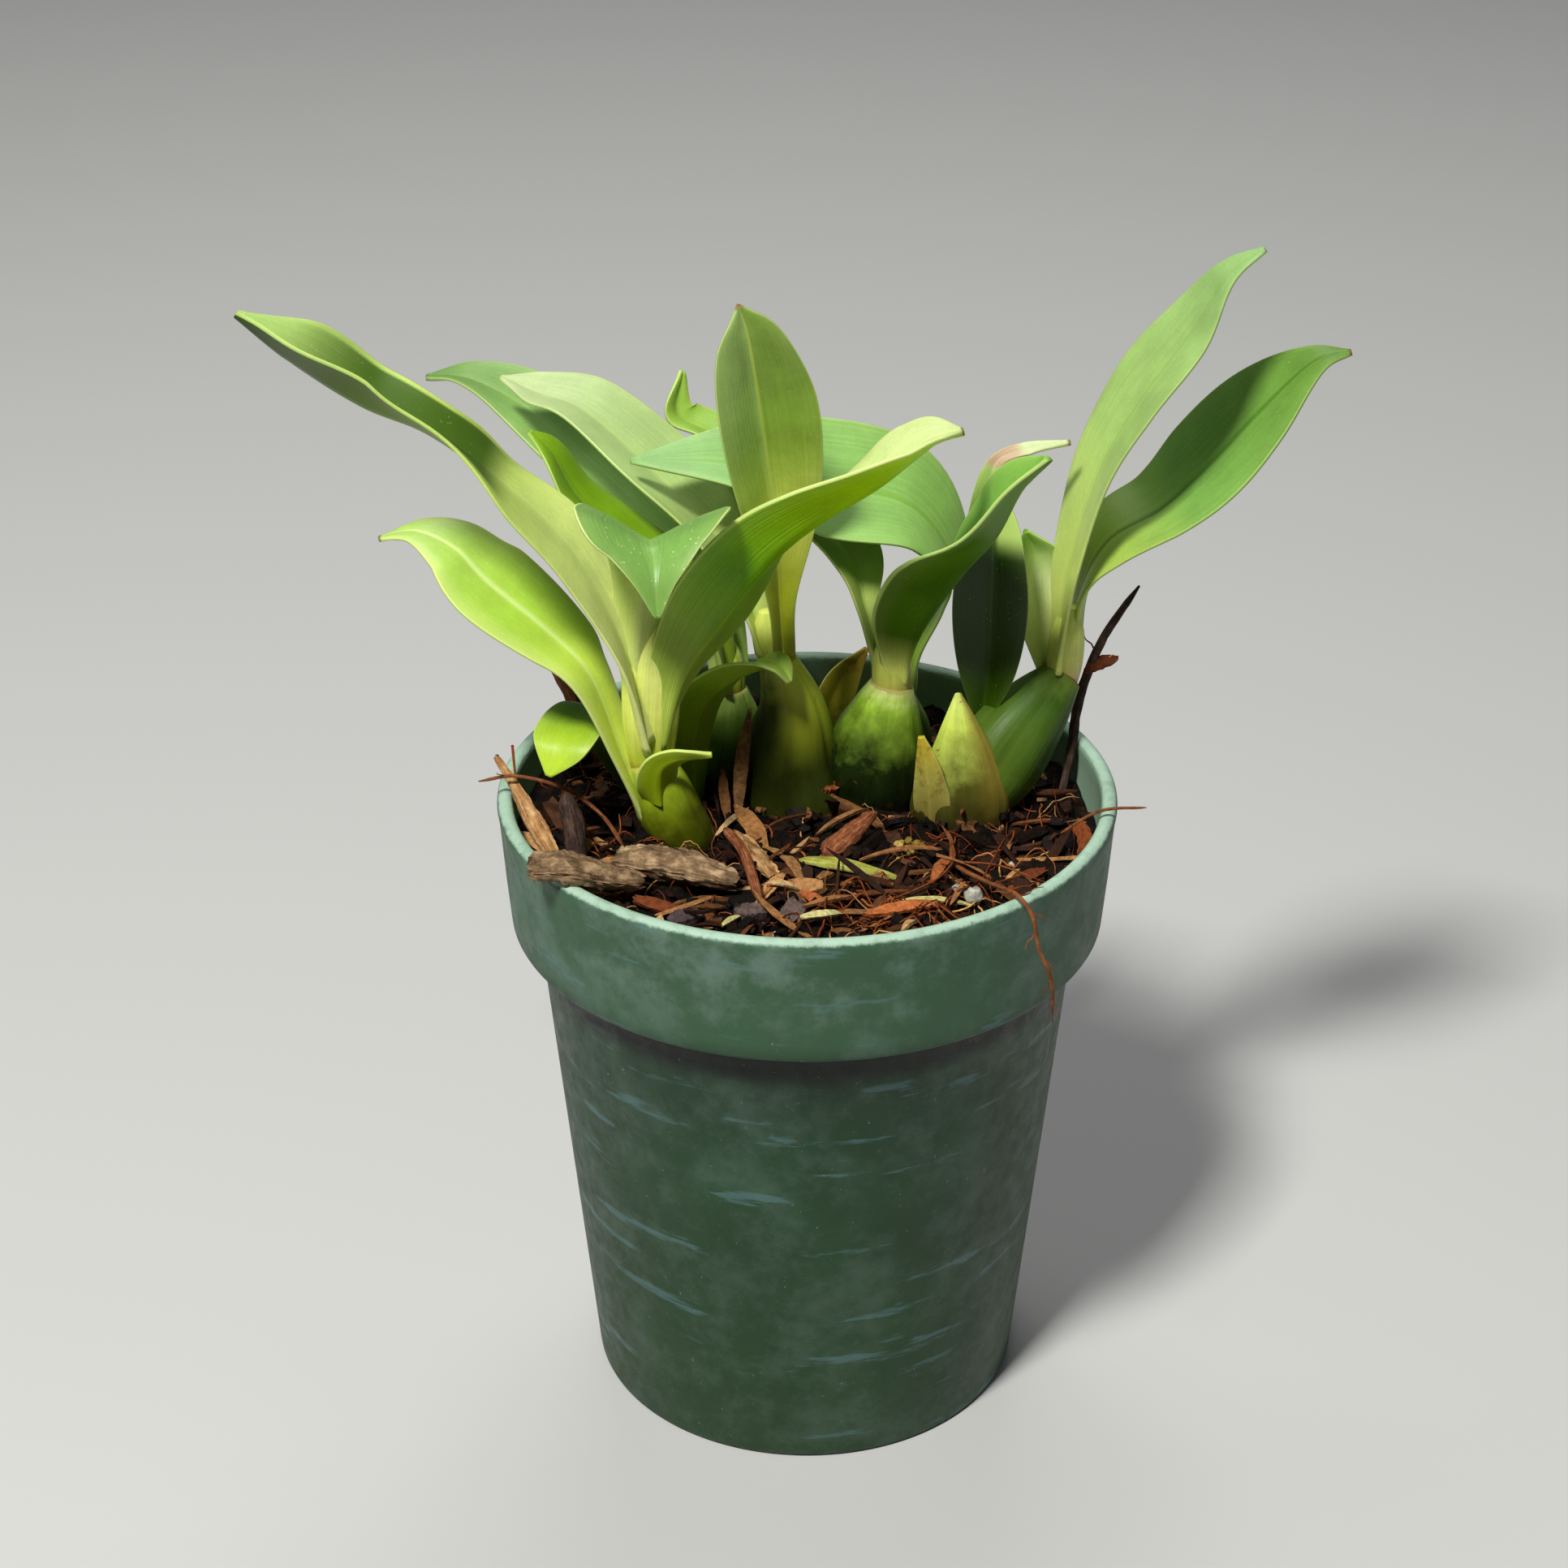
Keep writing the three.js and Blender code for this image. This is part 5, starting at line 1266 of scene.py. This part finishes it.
def bulb_material(name, shape):
    """Bulb skin: green with faint lengthwise streaks, a foot darkened with painted shade and a brown scar
    round the neck.
    """
    g = Graph("bulb_" + name, flesh(0.1, 0.6, 0.002, shape.get("gloss", 0.4), shape.get("coat", 0.12), 0.3))
    along, cosine, sine, ring = round_chart(g, 0.5)
    streaks = g.noise(ring, 6.0, 4.0, 0.55)
    blotch = g.noise(g.place(), 260.0, 4.0, 0.6)
    skewed = g.scaled(g.maths("SUBTRACT", blotch, 0.5), 0.3, along)
    colour = g.ramp(skewed, list(zip(shape.get("stops", (0.15, 0.45, 0.75, 0.95)), shape["skin"])))
    shade = g.times(g.between(streaks, 0.9, 1.06), g.between(blotch, 0.86, 1.1))
    colour = g.shaded(colour, shade)
    # Painted light on bulb_b's lit shoulder, a brown stain on sheath_e.
    if "lit_side_and_stain" in shape:
        colour = bulb_lit_side_and_stain(g, shape, colour, along, cosine, sine)
    flecks = g.spots(g.place(), 900.0, 3.0, 0.7, 0.64, 0.72, shape.get("flecks", 0.4))
    colour = g.tint(flecks, colour, (112, 82, 34))
    # Painted shade: darker towards the foot, where the bulb meets the mix.
    colour = g.tint(g.spread(skewed, 0.05, 0.36, 0.9, 0.0), colour, (30, 19, 10))
    if name.startswith("bulb"):
        scar = g.times(g.spread(along, 0.9, 0.93), g.spread(along, 0.955, 0.985, 0.6, 0.0))
        colour = g.tint(scar, colour, (150, 112, 70))
    height = g.maths("ADD", g.times(streaks, 0.6), g.times(blotch, 0.4))
    return g.finish(colour, g.between(blotch, 0.36, 0.5), height, 0.0003, 0.6)


def collar_material(name, shape):
    """A leaf sheath: pale yellow-green, with faint veins, a brown torn foot and a soft gloss."""
    g = Graph("sheath_" + name, flesh(0.15, 0.6, 0.002, 0.5, 0.25, 0.25))
    along, _, _, ring = round_chart(g, 0.2)
    veins = g.noise(ring, 11.0, 3.0, 0.5)
    blotch = g.noise(g.place(), 420.0, 4.0, 0.6)
    colour = g.ramp(along, list(zip((0.2, 0.45, 0.75, 0.95), shape["skin"])))
    shade = g.times(g.between(veins, 0.92, 1.04), g.between(blotch, 0.92, 1.06))
    torn = g.spread(g.scaled(blotch, 0.16, along), 0.2, 0.32, 0.7, 0.0)
    colour = g.tint(torn, g.shaded(colour, shade), (132, 96, 48))
    return g.finish(colour, g.between(blotch, 0.3, 0.42), veins, 0.00015, 0.5)


def bark_material(name, dark, middle, light, roughness=0.85):
    """Weathered bark or wood with grain along the piece."""
    g = Graph(name, {"Specular IOR Level": 0.2})
    along, share, _ = g.chart("grain")
    grain = g.noise(g.join(g.times(along, 4.0), g.times(share, 26.0), 1.5), 1.0, 5.0, 0.65)
    spots = g.noise(g.place(), 700.0, 5.0, 0.65)
    both = g.maths("ADD", g.times(grain, 0.6), g.times(spots, 0.4))
    colour = g.ramp(both, [(0.36, dark), (0.5, middle), (0.62, light)])
    return g.finish(colour, g.between(spots, roughness - 0.12, roughness), both, 0.0005, 0.8)


def loose_material(name, colours, roughness=0.8, moist=0.0):
    """Chips or fibres, each with its own colour from its chance number."""
    g = Graph(name, {"Specular IOR Level": 0.15})
    chance, other, _ = g.chart("chance")
    spots = g.noise(g.place(), 1400.0, 4.0, 0.65)
    shade = g.times(g.between(spots, 0.6, 1.25), g.spread(other, 0.0, 1.0, 0.65, 1.2, False))
    colour = g.shaded(g.ramp(chance, colours), shade)
    return g.finish(colour, g.between(spots, roughness - moist, roughness), spots, 0.0004, 0.7)


def soil_material():
    """Dark moist mix with reddish crumbs and pale dust."""
    g = Graph("soil", {"Specular IOR Level": 0.15})
    crumbs = g.noise(g.place(), 500.0, 6.0, 0.7)
    grit = g.noise(g.place(), 1700.0, 4.0, 0.7)
    colour = g.ramp(crumbs, SOIL_COLOURS)
    colour = g.tint(g.spread(grit, 0.66, 0.74, 0.0, 0.6), colour, (150, 104, 58))
    height = g.maths("ADD", crumbs, g.times(grit, 0.6))
    return g.finish(colour, g.between(crumbs, 0.95, 0.6), height, 0.0012, 1.0)


BAND_SHADOW_RADIUS = 32
LIP_RADIUS = 36.6


def pot_haze(g, place, z, colour):
    """A dusty haze, strongest on the band, and its share."""
    haze = g.over(z, BAND_FOOT - 1, POT_HEIGHT - 4, 0.15, 0.45)
    haze = g.times(haze, g.spots(place, 110.0, 6.0, 0.7, 0.42, 0.68, 1.0))
    return g.tint(haze, colour, (128, 150, 140)), haze


def pot_band_shadow(g, z, reach, colour):
    """Painted shadow: near-black in the corner under the band, where the band shades the wall."""
    band_shadow = g.times(g.over(z, BAND_FOOT - 6.5, BAND_FOOT - 3.5, 0.0, 0.92),
                    g.over(z, BAND_FOOT - 0.1, BAND_FOOT + 0.2, 1.0, 0.0))
    band_shadow = g.times(band_shadow, g.over(reach, BAND_SHADOW_RADIUS - 0.2, BAND_SHADOW_RADIUS + 0.2))
    return g.tint(band_shadow, colour, (6, 10, 8))


def pot_lit_inside(g, z, reach, colour):
    """The inner side of the lip made paler: painted light on the upper inner wall."""
    inside = g.times(g.over(reach, LIP_RADIUS - 0.2, LIP_RADIUS + 0.2, 0.9, 0.0),
                     g.over(z, BAND_FOOT + 0.5, BAND_FOOT + 2.5))
    return g.tint(inside, colour, (140, 168, 142))


def pot_material():
    """Worn dark green plastic: a pale lip, partly rubbed and partly a painted highlight on its top, dusty
    haze on the band, scuffs and specks of dirt, a painted shadow under the band and painted light on the
    upper inner wall.
    """
    g = Graph("pot_plastic", {"Specular IOR Level": 0.28})
    place = g.place()
    x, y, z = g.split(place)
    reach = g.maths("SQRT", g.scaled(x, x, g.times(y, y)))
    fine = g.noise(place, 420.0, 5.0, 0.65)
    colour = g.ramp(g.noise(place, 45.0, 4.0, 0.6), POT_COLOURS)
    colour = g.tint(g.over(z, 0.0, BAND_FOOT, 0.75, 0.0), colour, (38, 66, 36))
    colour = g.tint(g.over(z, BAND_FOOT - 1, BAND_FOOT + 3, 0.0, 0.5), colour, (72, 110, 80))
    colour, haze = pot_haze(g, place, z, colour)
    flat = g.join(g.times(x, 60.0), g.times(y, 60.0), g.times(z, 420.0))
    colour = g.tint(g.spots(flat, 1.0, 5.0, 0.6, 0.6, 0.68, 0.45), colour, (92, 128, 132))
    # Painted shadow under the band, and painted light on the upper inner wall.
    colour = pot_lit_inside(g, z, reach, pot_band_shadow(g, z, reach, colour))
    # The pale top of the lip: partly rubbed wear, partly a painted highlight where the light falls on the
    # rounded top.
    wear = g.noise(place, 900.0, 5.0, 0.7)
    lip = g.over(g.scaled(wear, 0.0008, z), POT_HEIGHT - 0.3, POT_HEIGHT + 0.1)
    lip = g.times(lip, g.spread(fine, 0.3, 0.55, 0.7, 1.0))
    colour = g.tint(lip, colour, (166, 196, 174))
    colour = g.tint(g.spots(place, 1300.0, 3.0, 0.7, 0.68, 0.75, 0.6), colour, (150, 142, 112))
    colour = g.tint(g.spots(place, 420.0, 5.0, 0.7, 0.66, 0.74, 0.6), colour, (70, 58, 38))
    roughness = g.scaled(haze, 0.3, g.between(fine, 0.4, 0.56))
    height = g.scaled(g.noise(place, 2600.0, 2.0), 0.5, fine)
    return g.finish(colour, roughness, g.scaled(g.times(lip, wear), 3.0, height), 0.00008, 0.6)


# Build the pieces

dress(pot_piece(), pot_material(), "pot_plastic", "pot")
for name, leaf in LEAVES.items():
    dress(blade(name, leaf), leaf_material(name, leaf), leaf.get("slot", "leaf_green"), name)
for name, shape in BULBS.items():
    dress(bulb(name, shape), bulb_material(name, shape), shape.get("slot", "bulb"), name)
woods = {kind: bark_material(*look) for kind, look in WOODS.items()}
for index, (name, part) in enumerate(DEBRIS.items()):
    dress(rod(name, part, index * 3.1), woods[part["kind"]], part["slot"], name)
for name, shape in COLLARS.items():
    dress(bulb(name, shape), collar_material(name, shape), "leaf_pale")
dress(mix_bed(), soil_material(), "potting_mix", "potting_mix")
dress(chips_piece(), loose_material("bark_chips", CHIP_COLOURS, 0.85, 0.35), "potting_mix")
dress(splinters_piece(), loose_material("bark_splinters", SPLINTER_COLOURS, 0.8, 0.15), "bark")
dress(fibres_piece(), loose_material("bark_fibres", FIBRE_COLOURS), "dry_fibre")
dress(rootlets_piece(), loose_material("root_hairs", FIBRE_COLOURS[1:]), "dry_fibre")
for kind, colours in SCRAP_COLOURS.items():
    dress(scraps_piece(kind), loose_material("scraps_" + kind, colours, 0.75), "bark")
dress(lumps_piece("perlite", 3, PERLITE), loose_material("perlite", PERLITE_COLOURS, 0.9), "potting_mix")
dress(lumps_piece("beads", 4, BEADS), loose_material("beads", BEAD_COLOURS, 0.4), "dry_fibre")


# Floor, light and camera

FLOOR_REACH = 3000
FLOOR_COLOUR = (0.55, 0.55, 0.535, 1)
WORLD_COLOUR = (0.9, 0.95, 1.0, 1)
WORLD_STRENGTH = 0.085
PLANT_MIDDLE = (0, 0, 0.08)


def pale_floor():
    """A plain pale floor."""
    corners = [(x * FLOOR_REACH, y * FLOOR_REACH, 0) for x, y in ((-1, -1), (1, -1), (1, 1), (-1, 1))]
    floor = mesh_object("floor", corners, [[0, 1, 2, 3]])
    look = Graph("floor_pale", {"Roughness": 0.75, "Base Color": FLOOR_COLOUR})
    floor.data.materials.append(look.material)
    return floor


def area_light(name, place, power, size, colour=(1, 1, 1)):
    """A soft square light that faces the middle of the plant."""
    data = bpy.data.lights.new(name, "AREA")
    data.energy = power
    data.size = size
    data.color = colour
    light = bpy.data.objects.new(name, data)
    light.location = place
    light.rotation_euler = (Vector(place) - Vector(PLANT_MIDDLE)).to_track_quat("Z", "Y").to_euler()
    bpy.context.scene.collection.objects.link(light)


def studio_world():
    """A weak cool light from all around."""
    world = bpy.data.worlds.new("studio")
    world.use_nodes = True
    background = world.node_tree.nodes["Background"]
    background.inputs["Color"].default_value = WORLD_COLOUR
    background.inputs["Strength"].default_value = WORLD_STRENGTH
    bpy.context.scene.world = world
    bpy.context.scene.view_settings.view_transform = "Standard"


def photo_camera():
    """A camera that stands where the photograph's stood."""
    down = math.radians(LOOK_DOWN)
    data = bpy.data.cameras.new("camera")
    data.lens = LENS
    data.sensor_width = 36
    camera = bpy.data.objects.new("camera", data)
    x, y, z = LOOK_AT
    camera.location = (x * MM, (y - DISTANCE * math.cos(down)) * MM, (z + DISTANCE * math.sin(down)) * MM)
    camera.rotation_euler = (math.pi / 2 - down, 0, 0)
    bpy.context.scene.collection.objects.link(camera)
    bpy.context.scene.camera = camera


floor = pale_floor()
area_light("key_left", (-0.24, -0.46, 0.87), power=11.0, size=0.14, colour=(1.0, 0.99, 0.96))
area_light("fill_right", (0.7, -0.35, 0.5), power=0.07, size=0.5)
area_light("top_back", (0.0, 0.4, 0.85), power=2.4, size=0.4)
studio_world()
photo_camera()
